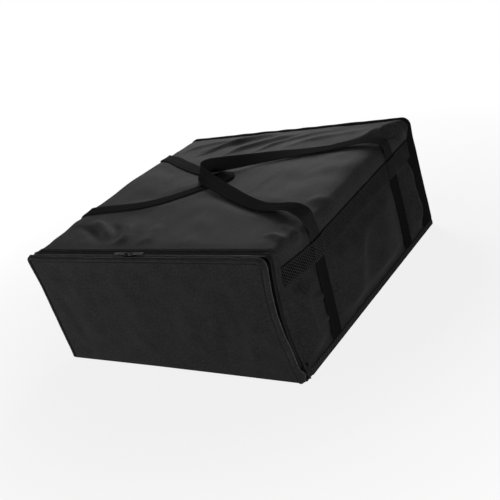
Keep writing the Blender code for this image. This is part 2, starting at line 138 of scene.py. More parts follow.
def settle(places):
    # moves soft places with the bag's corners, but leaves the sliders' run where the frame has it
    places = np.asarray(places, float)
    x, y, z = places[..., 0], places[..., 1], places[..., 2]
    shares = (x / bag["width"] + 0.5, y / bag["depth"] + 0.5, z / bag["height"])
    shares = [np.clip(share, 0, 1) for share in shares]
    shift = np.zeros(places.shape)
    for corner, offset in settled.items():
        weight = 1
        for share, sign in zip(shares, corner):
            weight = weight * (share if sign > 0 else 1 - share)
        shift += weight[..., None] * np.array(offset) * mm
    # the mouth's right edge bows in, and the padding lifts the left edge between the corners
    near = eased(-y, *sag["mouthDepth"]) * eased(x, *sag["mouthSide"])
    bow = np.sin(math.pi * shares[2])
    shift[..., 0] -= near * (sag["mouthIn"] * bow + sag["cornerIn"] * shares[2])
    shift[..., 1] -= near * sag["mouthForward"] * (0.5 * bow + 0.5 * shares[2])
    lift = eased(-x, *sag["edgeSide"]) * eased(z, *sag["edgeHeight"])
    lift = np.sin(math.pi * shares[1]) ** sag["edgeRound"] * lift
    shift[..., 2] += sag["edgeLift"] * lift
    shift[..., 0] -= sag["edgeOut"] * lift
    tip = eased(z, *sag["tipHeight"]) * eased(-x, *sag["tipSide"]) * eased(-y, *sag["tipDepth"])
    shift[..., 0] -= sag["tipOut"] * tip
    shift[..., 2] += sag["tipUp"] * tip
    aside = np.clip(np.abs(x) - sag["sliderRun"], 0, None)
    off = np.sqrt(aside**2 + (y - bag["chain"]) ** 2 + (z - bag["height"]) ** 2)
    return places + eased(off, sag["held"], sag["free"])[..., None] * shift


webbing = {"width": 26 * mm, "thick": 1.8 * mm, "pitch": 3.2 * mm, "rib": 0.34 * mm, "step": 0.7 * mm,
           "foot": (2 * mm, 22 * mm), "slant": 0.35, "smoothing": 40}
# The loops' routes, as part.py gives them: across and along as shares of half the bag, lift in
# webbing widths, lean in degrees
rightRoute = (
    (0.990, -0.566, -0.62, 0), (0.989, -0.579, -0.14, 0), (0.956, -0.563, 0.30, 0),
    (0.874, -0.521, 0.48, 0), (0.773, -0.473, 0.37, 0), (0.651, -0.423, 0.13, 0),
    (0.518, -0.369, 0.00, 0), (0.356, -0.283, 0.01, 2), (0.173, -0.172, 0.05, 8),
    (-0.029, -0.049, 0.10, 20), (-0.174, 0.046, 0.08, 39), (-0.246, 0.104, 0.09, 54),
    (-0.268, 0.146, 0.13, 68), (-0.245, 0.190, 0.14, 86), (-0.165, 0.250, 0.04, 117),
    (0.012, 0.340, 0.00, 146), (0.203, 0.410, 0.00, 162), (0.396, 0.467, 0.00, 176),
    (0.579, 0.506, 0.00, 180), (0.701, 0.531, 0.08, 180), (0.815, 0.544, 0.16, 180),
    (0.910, 0.550, 0.10, 180), (0.978, 0.555, -0.12, 180), (0.990, 0.562, -0.62, 180),
)
leftRoute = (
    (0.800, -0.352, 0.00, 0), (0.560, -0.302, 0.00, 0), (0.400, -0.222, 0.00, 0),
    (0.290, -0.128, 0.00, 0), (0.190, -0.036, 0.00, 0), (0.115, 0.030, 0.00, 4),
    (0.052, 0.075, 0.03, 20), (0.030, 0.118, 0.05, 30), (0.070, 0.160, 0.03, 22),
    (0.170, 0.198, 0.00, 6), (0.300, 0.238, 0.00, 0), (0.460, 0.308, 0.00, 0),
    (0.650, 0.412, 0.00, 0), (0.820, 0.520, 0.00, 0),
)


def curveThrough(points, perSpan):
    # a Catmull-Rom curve through the points
    points = np.asarray(points, float)
    ends = np.vstack([2 * points[0] - points[1], points, 2 * points[-1] - points[-2]])
    steps = np.arange(perSpan)[:, None] / perSpan
    spans = []
    for a, b, c, d in zip(ends, ends[1:], ends[2:], ends[3:]):
        spans.append(0.5 * (2 * b + (c - a) * steps + (2 * a - 5 * b + 4 * c - d) * steps**2
                            + (3 * b - a - 3 * c + d) * steps**3))
    return np.vstack(spans + [points[-1:]])


def walkedAlong(line):
    # how far along the line each of its points lies
    return np.concatenate([[0], np.cumsum(np.linalg.norm(np.diff(line, axis=0), axis=1))])


def together(*parts):
    # the parts of places or uvs, spread to one shape and stacked
    return np.stack(np.broadcast_arrays(*parts), axis=-1)


def spaced(line, step):
    # the same line with its points this far apart
    line = np.asarray(line, float)
    walked = walkedAlong(line[:, :3])
    wanted = np.linspace(0, walked[-1], int(walked[-1] / step) + 1)
    return together(*(np.interp(wanted, walked, column) for column in line.T))


def freeHeight(layer, lean):
    free = bag["seat"] + layer * (webbing["thick"] + bag["seat"])
    free = free + webbing["thick"] / 2 * np.abs(np.cos(lean))
    return bag["height"] + free + webbing["width"] / 2 * np.abs(np.sin(lean))


def shoulderPoints(at, towards, lean, layer, hug):
    # from the foot up the wall and, where the loop hugs the corner, round it
    foot = bag["seam"] + webbing["foot"][0]
    lowest = freeHeight(layer, 0)
    out = bag["half"] + bag["seat"] + webbing["thick"] / 2
    points = [(out, at, foot - lowest, lean)]
    radius = out - bag["half"] + bag["corner"] + bag["seat"]
    for angle in np.linspace(0, math.pi / 2, 7) if hug else ():
        along = at + (towards - at) * angle / math.pi
        rise = bag["height"] - bag["corner"] + radius * math.sin(angle)
        points.append((bag["flat"] + radius * math.cos(angle), along, rise - lowest, lean))
    return points


def loopLine(route, layer, places, hug):
    # the middle of the loop's webbing with its lean, from the front foot to the rear one
    middle = [(x * bag["width"] / 2, y * bag["depth"] / 2, lift * webbing["width"], math.radians(lean))
              for x, y, lift, lean in route]
    start = shoulderPoints(places[0], middle[0][1], middle[0][3], layer, hug)
    end = shoulderPoints(places[1], middle[-1][1], middle[-1][3], layer, hug)[::-1]
    line = curveThrough(start + middle + end, 16)
    line[:, 2] += freeHeight(layer, line[:, 3])
    return line


rightLine = loopLine(rightRoute, 1, strapPlaces[1], False)
leftLine = loopLine(leftRoute, 0, strapPlaces[-1], True) * (-1, 1, 1, 1)


pressing = {"lift": 6 * mm, "step": 6 * mm, "inner": 15 * mm, "outer": 34 * mm}


def pressed(x, y):
    # 1 where a loop lies on the top panel, 0 away from the loops
    nearest = np.full(np.broadcast(x, y).shape, 1.0)
    for line in (rightLine, leftLine):
        low = line[line[:, 2] < bag["height"] + pressing["lift"]]
        for px, py in spaced(low[:, :3], pressing["step"])[:, :2]:
            nearest = np.minimum(nearest, np.hypot(x - px, y - py))
    return 1 - eased(nearest, pressing["inner"], pressing["outer"])


# The top panel's folds: from, to, width and height in millimetres, x measured over the corner
topFolds = (
    ((-165, 150), (-20, 236), 8, 2.6), ((-168, 168), (-60, 214), 6, 1.8), ((-92, 142), (40, 226), 8, 2.4),
    ((-30, 150), (110, 222), 7, 1.8), ((-215, 176), (-110, 226), 8, 1.6), ((40, 160), (190, 208), 9, 1.4),
    ((-214, -148), (-108, -206), 11, -2.2), ((-190, -130), (-112, -196), 10, 2.6),
    ((-138, -140), (-90, -204), 9, -1.8), ((-108, -138), (-66, -210), 10, 2.0),
    ((-40, -140), (-18, -212), 13, 1.4), ((214, -120), (262, -172), 6, -3.0),
    ((204, -150), (258, -190), 8, 3.2), ((196, -182), (250, -206), 6, 2.0), ((205, -80), (262, -60), 12, 1.0),
    ((150, 20), (250, 60), 22, 1.0), ((190, 180), (262, 214), 9, 2.6), ((172, 160), (256, 172), 7, -2.0),
    ((206, 206), (262, 236), 7, -3.0), ((222, 168), (268, 198), 6, -2.8), ((214, 186), (264, 218), 5, 2.4),
)


topLook = {
    "wave": 1.4 * mm, "waveLength": 150 * mm, "pucker": 0.5 * mm, "puckerLength": 52 * mm, "fold": 2.4,
    "wearAndHighlight": 6.5 * mm, "wornPlace": 11 * mm, "wornWidth": 18 * mm,
    "wornFront": (-190 * mm, -120 * mm), "wornBack": (220 * mm, 244 * mm),
    "front": 26 * mm, "back": 22 * mm, "side": 24 * mm,
}


def topRise(s, y):
    # how far the top panel stands over its plain place
    look = topLook
    wave = look["wave"] * ripples(s, y, look["waveLength"], 5)
    soft = wave + look["pucker"] * ripples(s, y, look["puckerLength"], 7)
    soft = soft + look["fold"] * ridges(s, y, topFolds)
    soft = soft * (1 - pressed(np.clip(s, -bag["half"], bag["half"]), y))
    # the right edge is worn softer than the section's corner
    along = eased(y, *look["wornFront"]) * (1 - eased(y, *look["wornBack"]))
    across = (s - bag["flat"] - look["wornPlace"]) / look["wornWidth"]
    soft = soft - look["wearAndHighlight"] * along * np.exp(-(across**2))
    ends = eased(y, tapeBack, tapeBack + look["front"]) * (1 - eased(y, bag["back"] - look["back"], bag["back"]))
    return soft * ends * (1 - eased(np.abs(s), bag["toSeam"] - look["side"], bag["toSeam"]))


sideWall = {
    "bulge": 12.5 * mm, "wave": 1.0 * mm, "waveLength": 64 * mm, "fold": 2.4, "flatFold": 0.2,
    "foot": (12 * mm, 46 * mm), "under": (26 * mm, 1 * mm), "behind": (58 * mm, 26 * mm),
    "ragged": 3.0 * mm, "raggedLength": 22 * mm, "raggedIn": 1.2 * mm,
    "lap": (15 * mm, 22 * mm), "lapShare": 0.3, "swell": (15 * mm, 66 * mm),
    "groove": 3.0 * mm, "groovePlace": 15.8 * mm, "grooveWidth": 2.8 * mm, "grooveFoot": (12 * mm, 20 * mm),
    "grooveTop": 8 * mm,
    "crescent": 7.6 * mm, "crescentPlace": 17 * mm, "crescentWidth": 13 * mm,
    "mouth": (1 * mm, 10 * mm, 46 * mm), "mouthShare": 0.6,
}

# The side walls' soft folds, y and z in millimetres: the ones seen on the right, more like them on the left
sideFolds = {
    1: (((-2, 118), (-118, 104), 14, 2.2), ((-108, 112), (-122, 40), 12, 2.6), ((-30, 110), (-84, 40), 20, 2.0),
        ((60, 116), (20, 30), 26, 2.0), ((-206, 136), (-214, 40), 10, 2.2),
        ((-178, 104), (-158, 90), 4, 5.0), ((-172, 66), (-156, 50), 4, 4.6), ((-214, 62), (-180, 24), 7, 1.6),
        ((176, 110), (206, 40), 9, 2.0), ((214, 116), (188, 60), 8, -1.4)),
    -1: (((-206, 120), (-196, 36), 10, 1.8), ((-150, 112), (-128, 44), 9, 2.0), ((-60, 110), (-74, 40), 9, 1.8),
         ((20, 112), (-10, 36), 12, 1.6), ((92, 104), (110, 36), 9, 1.8), ((196, 112), (214, 44), 9, 1.6)),
}


def sideRise(side, y, z):
    # the padding swells between the base, the band and the straps, and laps over the straps' edges
    wall, high = sideWall, bag["bandFoot"]
    under, clear = wall["under"]
    reach = eased(z, *wall["foot"]) * (1 - eased(z, high - under, high - clear))
    held = np.ones(np.broadcast(y, z).shape)
    ragged = wall["ragged"] * ripples(z, 0 * z, wall["raggedLength"], 17 + side)
    groove = 0
    for strap in strapPlaces[side]:
        off = np.abs(y - strap) + np.clip(ragged, -wall["raggedIn"], None)
        lapped = wall["lapShare"] * eased(off, *wall["lap"])
        held = held * (lapped + (1 - wall["lapShare"]) * eased(off, *wall["swell"]))
        aside = (y - strap + wall["groovePlace"] + 0.5 * ragged) / wall["grooveWidth"]
        groove = groove + np.exp(-(aside**2))
    start, steep, gentle = wall["mouth"]
    ends = wall["mouthShare"] * eased(y, tapeBack - start, tapeBack + steep)
    ends = ends + (1 - wall["mouthShare"]) * eased(y, tapeBack, tapeBack + gentle)
    far, close = wall["behind"]
    ends = ends * (1 - eased(y, bag["back"] - far, bag["back"] - close))
    folds = wall["fold"] * ridges(y, z, sideFolds[side])
    folds = folds + wall["wave"] * ripples(y, 0.4 * z, wall["waveLength"], 11 + side)
    behind = (y - tapeBack - wall["crescentPlace"]) / wall["crescentWidth"]
    crescent = wall["crescent"] * np.exp(-(behind**2))
    grooves = wall["groove"] * groove * eased(z, *wall["grooveFoot"])
    grooves = grooves * (1 - eased(z, high - wall["grooveTop"], high))
    folded = folds * (wall["flatFold"] + (1 - wall["flatFold"]) * held)
    return (wall["bulge"] * held + crescent + folded) * reach * ends - grooves


def section(s):
    # the bag's section seen from the front, s measured from the top's middle: place and way out
    r = bag["corner"]
    away = np.abs(s)
    turn = np.clip((away - bag["flat"]) / r, 0, math.pi / 2)
    drop = np.clip(away - bag["flat"] - r * math.pi / 2, 0, None)
    side = np.where(s < 0, -1.0, 1.0)
    x = side * (np.minimum(away, bag["flat"]) + r * np.sin(turn))
    z = bag["height"] - r + r * np.cos(turn) - drop
    return x, z, side * np.sin(turn), np.cos(turn)


def wallPlace(s, y, out=0.0, soft=True):
    # a place on the top or a side wall, this far out from the cloth's outer face
    s, y, out = np.broadcast_arrays(s, y, out)
    x, z, wayX, wayZ = section(s)
    if soft:
        z0 = bag["toFloor"] - np.abs(s)
        top = topRise(s, y)
        side = np.where(s > 0, sideRise(1, y, z0), sideRise(-1, y, z0))
        out = out + np.where(np.abs(s) < bag["toSeam"], top, side)
    return settle(together(x + out * wayX, y, z + out * wayZ))


def meshPiece(name, points, faces, uvs, finish):
    # a piece from its points and faces, with one pair of uvs, in metres, for each face corner
    data = bpy.data.meshes.new(name)
    data.from_pydata(np.asarray(points).tolist(), [], faces)
    data.uv_layers.new(name="cut").data.foreach_set("uv", np.asarray(uvs, np.float32).ravel())
    data.materials.append(finish)
    data.shade_smooth()
    made = bpy.data.objects.new(name, data)
    bpy.context.scene.collection.objects.link(made)
    return made


def cleaned(data, weld=0.0, turned=True):
    # joins places closer than this and turns a closed piece's faces outwards
    tool = bmesh.new()
    tool.from_mesh(data)
    if weld:
        bmesh.ops.remove_doubles(tool, verts=tool.verts, dist=weld)
    if turned:
        bmesh.ops.recalc_face_normals(tool, faces=tool.faces)
    tool.to_mesh(data)
    tool.free()


def quads(index):
    corners = (index[:-1, :-1], index[1:, :-1], index[1:, 1:], index[:-1, 1:])
    return np.stack(corners, axis=2).reshape(-1, 4)


def gridPiece(name, places, uv, finish, thick=0.0):
    # a sheet over a grid of places; its thickness goes in from the face
    rows, columns = places.shape[:2]
    faces = quads(np.arange(rows * columns).reshape(rows, columns))
    flatUv = np.asarray(uv).reshape(-1, 2)
    made = meshPiece(name, places.reshape(-1, 3), faces.tolist(), flatUv[faces.ravel()], finish)
    if thick:
        thicken(made, thick)
    return made


def thicken(piece, thick):
    step = piece.modifiers.new("thickness", "SOLIDIFY")
    step.thickness = thick
    step.offset = -1


def tubePiece(name, rings, uv, finish):
    # a closed piece through rings of places, capped at both ends
    rows, columns = rings.shape[:2]
    index = np.arange(rows * columns).reshape(rows, columns)
    faces = quads(np.concatenate([index, index[:, :1]], axis=1))
    uvIndex = quads(np.arange(rows * (columns + 1)).reshape(rows, columns + 1))
    caps = [index[0][::-1].tolist(), index[-1].tolist()]
    uvs = np.vstack([np.asarray(uv).reshape(-1, 2)[uvIndex.ravel()], np.zeros((2 * columns, 2))])
    made = meshPiece(name, rings.reshape(-1, 3), faces.tolist() + caps, uvs, finish)
    cleaned(made.data)
    return made


def tubeFaces(rings, size, first):
    # the faces of a closed tube through rings of this many places, counted from the first place
    faces = []
    for a in range(first, first + (rings - 1) * size, size):
        faces += [(a + i, a + (i + 1) % size, a + size + (i + 1) % size, a + size + i) for i in range(size)]
    last = first + (rings - 1) * size
    return faces + [tuple(range(first, first + size))[::-1], tuple(range(last, last + size))]


def place(piece, body, slot, *replaced):
    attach(piece, body)
    if replaced:
        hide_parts(*replaced)


def placeLayer(layer, body, slot, replaced):
    # one layer of a wall: attaches it to its body and hides the part it replaces
    place(layer, body, slot, replaced)


def giveInputs(tree, made, inputs):
    # each input is given as a value or as another node's output
    for key, value in inputs.items():
        if isinstance(value, bpy.types.NodeSocket):
            tree.links.new(value, made.inputs[key])
        else:
            made.inputs[key].default_value = value
    return made


def node(tree, kind, inputs=(), **settings):
    made = tree.nodes.new("ShaderNode" + kind)
    for key, value in settings.items():
        setattr(made, key, value)
    return giveInputs(tree, made, dict(inputs))


def calc(tree, operation, first, second=0.0):
    return node(tree, "Math", {0: first, 1: second}, operation=operation).outputs[0]


def effectGroup(name, inputs, outputs):
    group = bpy.data.node_groups.new(name, "ShaderNodeTree")
    for socket, kind, value in inputs:
        made = group.interface.new_socket(socket, in_out="INPUT", socket_type="NodeSocket" + kind)
        if value is not None:
            made.default_value = value
    for socket, kind in outputs:
        group.interface.new_socket(socket, in_out="OUTPUT", socket_type="NodeSocket" + kind)
    return group, group.nodes.new("NodeGroupInput"), group.nodes.new("NodeGroupOutput")


def makeWeave():
    # plain over-and-under weave, as the threads' height
    group, given, result = effectGroup(
        "plainWeave", [("Place", "Vector", None), ("Pitch", "Float", 0.001)], [("Height", "Float")])
    along = node(group, "SeparateXYZ", {0: given.outputs["Place"]})
    u = calc(group, "DIVIDE", along.outputs[0], given.outputs["Pitch"])
    v = calc(group, "DIVIDE", along.outputs[1], given.outputs["Pitch"])
    waveU = calc(group, "ABSOLUTE", calc(group, "SINE", calc(group, "MULTIPLY", u, math.pi)))
    waveV = calc(group, "ABSOLUTE", calc(group, "SINE", calc(group, "MULTIPLY", v, math.pi)))
    floors = calc(group, "ADD", calc(group, "FLOOR", u), calc(group, "FLOOR", v))
    over = calc(group, "MODULO", calc(group, "ABSOLUTE", floors), 2.0)
    mixed = node(group, "Mix", {0: over, 2: waveU, 3: waveV})
    group.links.new(mixed.outputs[0], result.inputs["Height"])
    return group


def makeMottle():
    # cloudy and fine unevenness of tone, each about 0.5 in the middle
    group, given, result = effectGroup(
        "mottle", [("Place", "Vector", None), ("Cloud Scale", "Float", 20.0), ("Grain Scale", "Float", 300.0)],
        [("Clouds", "Float"), ("Grain", "Float")])
    for word, scale, detail, roughness in (("Clouds", "Cloud Scale", 4.0, 0.6), ("Grain", "Grain Scale", 3.0, 0.7)):
        noise = node(group, "TexNoise", {"Vector": given.outputs["Place"], "Scale": given.outputs[scale],
                                         "Detail": detail, "Roughness": roughness})
        group.links.new(noise.outputs[0], result.inputs[word])
    return group


def makeRibs():
    # webbing: ribs in a shallow V across the strap, with a fine twill on them
    group, given, result = effectGroup(
        "webbingRibs", [("Place", "Vector", None), ("Pitch", "Float", 0.0024), ("Slant", "Float", 0.35)],
        [("Height", "Float"), ("Twill", "Float")])
    along = node(group, "SeparateXYZ", {0: given.outputs["Place"]})
    slid = calc(group, "MULTIPLY", calc(group, "ABSOLUTE", along.outputs[1]), given.outputs["Slant"])
    u = calc(group, "DIVIDE", calc(group, "ADD", along.outputs[0], slid), given.outputs["Pitch"])
    rib = calc(group, "ABSOLUTE", calc(group, "SINE", calc(group, "MULTIPLY", u, math.pi)))
    v = calc(group, "DIVIDE", along.outputs[1], given.outputs["Pitch"])
    fine = calc(group, "SINE", calc(group, "MULTIPLY", v, 4 * math.pi))
    finer = calc(group, "SINE", calc(group, "MULTIPLY", u, 4 * math.pi))
    group.links.new(rib, result.inputs["Height"])
    group.links.new(calc(group, "MULTIPLY", fine, finer), result.inputs["Twill"])
    return group


weaveGroup, mottleGroup, ribGroup = makeWeave(), makeMottle(), makeRibs()


def useGroup(tree, group, inputs):
    made = tree.nodes.new("ShaderNodeGroup")
    made.node_tree = group
    return giveInputs(tree, made, inputs)


def mottled(tree, where, cloudScale, grainScale):
    return useGroup(tree, mottleGroup, {"Place": where, "Cloud Scale": cloudScale, "Grain Scale": grainScale})


def newFinish(name, **fixed):
    made = bpy.data.materials.new(name)
    made.use_nodes = True
    shader = made.node_tree.nodes["Principled BSDF"]
    for key, value in fixed.items():
        shader.inputs[key.replace("_", " ")].default_value = value
    return made, made.node_tree, shader


def ramp(tree, factor, low, high):
    # mixes two colours by a value
    made = node(tree, "Mix", data_type="RGBA")
    made.inputs[6].default_value = (*low, 1)
    made.inputs[7].default_value = (*high, 1)
    tree.links.new(factor, made.inputs[0])
    return made.outputs[2]


def spread(tree, value, low, high, newLow=0.0, newHigh=1.0):
    return node(tree, "MapRange", {0: value, 1: low, 2: high, 3: newLow, 4: newHigh}).outputs[0]


def bumped(tree, shader, height, distance, strength=1.0, before=None):
    inputs = {"Height": height, "Distance": distance, "Strength": strength}
    if before:
        inputs["Normal"] = before
    made = node(tree, "Bump", inputs)
    tree.links.new(made.outputs[0], shader.inputs["Normal"])
    return made.outputs[0]


def painted(tree, shader, tone, dark, pale, wearAndHighlight, span, roughness):
    # colour from one value and roughness from another
    tree.links.new(ramp(tree, tone, dark, pale), shader.inputs["Base Color"])
    tree.links.new(spread(tree, wearAndHighlight, *span, *roughness), shader.inputs["Roughness"])


def cutPlace(tree):
    return node(tree, "UVMap", uv_map="cut").outputs[0]


clothLook = {"clouds": 0.3, "grain": 0.36, "weave": 0.34, "roughness": (0.62, 0.85), "weaveDepth": 0.12 * mm,
             "puckers": 0.25 * mm, "blur": 0.8 * mm}


def acrossStrip(tree, where, span, before, inside, past):
    # two values that change at a strip of the sheet's depth, one at each of its edges
    depth = node(tree, "SeparateXYZ", {0: where}).outputs[1]
    return (spread(tree, depth, span[0] - clothLook["blur"], span[0], before, inside),
            spread(tree, depth, span[1], span[1] + clothLook["blur"], inside, past))


def clothFinish(name, dark, pale, pitch, gloss=0.02, stripShade=None, wearAndHighlight=None):
    made, tree, shader = newFinish(name, Specular_IOR_Level=gloss)
    where = cutPlace(tree)
    weave = useGroup(tree, weaveGroup, {"Place": where, "Pitch": pitch})
    mottle = mottled(tree, where, 34.0, 260.0)
    clouds = calc(tree, "MULTIPLY", spread(tree, mottle.outputs["Clouds"], 0.26, 0.74), clothLook["clouds"])
    grain = calc(tree, "MULTIPLY", spread(tree, mottle.outputs["Grain"], 0.34, 0.66), clothLook["grain"])
    woven = calc(tree, "MULTIPLY", weave.outputs["Height"], clothLook["weave"])
    mixed = calc(tree, "ADD", calc(tree, "ADD", clouds, grain), woven)
    if stripShade:
        # painted shade: darker over a strip of the sheet's depth, in the zip's groove on the body tape and along the
        # hem's inner edge
        tone = calc(tree, "MAXIMUM", *acrossStrip(tree, where, stripShade, 1.0, 0.0, 1.0))
        mixed = calc(tree, "MULTIPLY", mixed, tone)
    if wearAndHighlight:
        # painted highlight: full tone only along the hem roll's crest, where the light catches it, painted darker to
        # both sides
        tone = calc(tree, "MINIMUM", *acrossStrip(tree, where, wearAndHighlight, 0.36, 1.0, 0.2))
        mixed = calc(tree, "MULTIPLY", mixed, tone)
    painted(tree, shader, mixed, dark, pale, mixed, (0.0, 1.0), clothLook["roughness"])
    wide = bumped(tree, shader, mottle.outputs["Clouds"], 3 * clothLook["puckers"], 0.5)
    soft = bumped(tree, shader, mottle.outputs["Grain"], clothLook["puckers"], 0.5, wide)
    bumped(tree, shader, weave.outputs["Height"], clothLook["weaveDepth"], 0.7, soft)
    return made


def webbingFinish(name, dark, pale, pitch):
    made, tree, shader = newFinish(name, Specular_IOR_Level=0.0)
    where = cutPlace(tree)
    ribs = useGroup(tree, ribGroup, {"Place": where, "Pitch": pitch, "Slant": webbing["slant"]})
    mottle = mottled(tree, where, 40.0, 900.0)
    mixed = calc(tree, "MULTIPLY", ribs.outputs["Height"], 0.6)
    mixed = calc(tree, "ADD", mixed, calc(tree, "MULTIPLY", mottle.outputs["Grain"], 0.4))
    painted(tree, shader, mixed, dark, pale, mottle.outputs["Clouds"], (0.3, 0.7), (0.5, 0.7))
    soft = bumped(tree, shader, ribs.outputs["Twill"], 0.06 * mm, 0.6)
    bumped(tree, shader, ribs.outputs["Height"], 0.2 * mm, 0.7, soft)
    return made


def foilFinish(name):
    made, tree, shader = newFinish(name, Metallic=1.0)
    where = cutPlace(tree)
    mottle = mottled(tree, where, 24.0, 240.0)
    crumple = node(tree, "TexVoronoi", {"Vector": where, "Scale": 70.0}, feature="DISTANCE_TO_EDGE")
    painted(tree, shader, mottle.outputs["Clouds"], (0.60, 0.61, 0.63), (0.82, 0.83, 0.84),
            mottle.outputs["Grain"], (0.3, 0.7), (0.36, 0.54))
    soft = bumped(tree, shader, mottle.outputs["Clouds"], 2.0 * mm, 0.6)
    bumped(tree, shader, crumple.outputs[0], 0.5 * mm, 0.5, soft)
    return made


def foamFinish(name):
    made, tree, shader = newFinish(name)
    where = cutPlace(tree)
    cells = node(tree, "TexVoronoi", {"Vector": where, "Scale": 900.0})
    painted(tree, shader, cells.outputs[0], (0.84, 0.85, 0.85), (0.7, 0.71, 0.71), cells.outputs[0],
            (0.0, 1.0), (0.8, 0.95))
    bumped(tree, shader, cells.outputs[0], 0.3 * mm, 0.5)
    return made


def solidFinish(name, dark, pale, roughness, cloudScale, grainScale, grainDepth, grainStrength, **fixed):
    made, tree, shader = newFinish(name, **fixed)
    mottle = mottled(tree, node(tree, "TexCoord").outputs["Object"], cloudScale, grainScale)
    painted(tree, shader, mottle.outputs["Clouds"], dark, pale, mottle.outputs["Grain"], (0.3, 0.7), roughness)
    bumped(tree, shader, mottle.outputs["Grain"], grainDepth, grainStrength)
    return made


def plasticFinish(name, dark, pale, roughness, gloss=0.5):
    return solidFinish(name, dark, pale, roughness, 60.0, 1500.0, 0.03 * mm, 0.5, Specular_IOR_Level=gloss)


def metalFinish(name, dark, pale, roughness):
    return solidFinish(name, dark, pale, roughness, 200.0, 3000.0, 0.01 * mm, 0.4, Metallic=1.0,
                       Specular_Tint=(0.6, 0.6, 0.6, 1))


def grey(value, blue=None):
    # a grey, with its own blue where the cloth or metal is a little cool
    return value, value, blue or value


weavePitch, tapePitch = 0.55 * mm, 0.45 * mm
finishes = {
    "oxford": clothFinish("oxfordCloth", grey(0.006, 0.0062), grey(0.052, 0.053), weavePitch, 0.08),
    "wall": clothFinish("wallCloth", grey(0.006, 0.0062), grey(0.054, 0.055), weavePitch, 0.03),
    # the hem: its pale colour and crest strip paint a highlight along the roll, and its dark strip paints shade
    # along the inner edge
    "hem": clothFinish("hemCloth", grey(0.010, 0.0102), grey(0.150, 0.152), weavePitch,
                       stripShade=(0.0, 1.6 * mm), wearAndHighlight=(12.0 * mm, 13.6 * mm)),
    # near black: partly the tape's own black, partly painted shade of the groove it lies in
    "tape": clothFinish("grooveShadedZipTape", grey(0.0008), grey(0.002), tapePitch),
    # the body tape's dark strip is painted shade in the zip's groove
    "bodyTape": clothFinish("bodyTape", grey(0.003, 0.0031), grey(0.066, 0.067), tapePitch,
                            stripShade=(6.0 * mm, 8.4 * mm)),
    # one webbing in two colours: the loops painted paler and the straps on the side walls painted darker, as painted
    # light and shade
    "webbing": webbingFinish("webbing", grey(0.002), grey(0.050, 0.0506), webbing["pitch"]),
    "shadedSideWebbing": webbingFinish("shadedSideWebbing", grey(0.002), grey(0.026, 0.0265), webbing["pitch"]),
    "binding": webbingFinish("bindingTape", grey(0.002), grey(0.026, 0.0265), 3.6 * mm),
    "baseBinding": webbingFinish("baseBindingTape", grey(0.003, 0.0031), grey(0.080, 0.081), 6.0 * mm),
    "net": plasticFinish("knittedNet", grey(0.028, 0.0284), grey(0.076, 0.077), (0.6, 0.8), 0.01),
    # a near-black sheet under the net: painted shade seen through the net's holes
    "netBacking": plasticFinish("netBacking", grey(0.001), grey(0.004), (0.8, 0.9), 0.0),
    "thread": plasticFinish("thread", grey(0.014), grey(0.034, 0.0345), (0.6, 0.8), 0.02),
    "foil": foilFinish("foilLining"),
    "foam": foamFinish("whiteFoam"),
    "board": plasticFinish("baseBoard", grey(0.08), grey(0.13), (0.5, 0.65)),
    "teeth": plasticFinish("zipTeeth", grey(0.004), grey(0.010), (0.35, 0.5), 0.12),
    "nickel": metalFinish("blackNickel", grey(0.008, 0.0082), grey(0.030, 0.0306), (0.26, 0.42)),
    # the pulls: the sliders' nickel painted paler, as a painted glint
    "glintPullNickel": metalFinish("paintedGlintNickel", grey(0.02, 0.0203), grey(0.07, 0.071), (0.28, 0.42)),
}
print("finishes ready")


def wallSheet(name, spans, out, thick, cell, finish):
    # a sheet over a span along the section and a span front to back
    s, y = (np.linspace(low, high, max(2, int((high - low) / cell) + 1)) for low, high in spans)
    s, y = np.meshgrid(s, y, indexing="ij")
    return gridPiece(name, wallPlace(s, y, out), together(s, y), finish, thick)


walls = {"cell": 3.2 * mm, "innerCell": 4.8 * mm, "seamGap": 0.2 * mm}


def makeWalls():
    # top and side walls: cloth outside, foam, foil inside, all following the same soft shape
    seam, gap, floor = bag["toSeam"], walls["seamGap"], bag["toFloor"] - (bag["cloth"] + bag["seat"])
    clothDepth = (tapeFront + 4 * mm, bag["back"] - 1.3 * mm)
    innerDepth = (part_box("top_foam")[0].y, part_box("top_foam")[1].y)
    sides = (
        ("topPanel", (gap - seam, seam - gap), "top", "oxford"),
        ("rightWall", (seam + gap, floor), "right_side", "wall"),
        ("leftWall", (-floor, -seam - gap), "left_side", "wall"),
    )
    for word, around, side, clothKind in sides:
        layers = (
            ("Cloth", "outer_cloth", "_cloth", clothKind, clothDepth, 0, bag["cloth"], walls["cell"],
             side + "_foam"),
            ("Foam", "foam", "_foam", "foam", innerDepth, -bag["foamInset"], bag["foam"] - 2 * bag["seat"],
             walls["innerCell"], None),
            ("Foil", "foil", "_lining", "foil", innerDepth, -bag["foilInset"], bag["foil"], walls["innerCell"],
             word + "Foam"),
        )
        for part, slot, replaced, finish, deep, out, thick, cell, restsOn in layers:
            layer = wallSheet(word + part, (around, deep), out, thick, cell, finishes[finish])
            placeLayer(layer, "shell", slot, side + replaced)


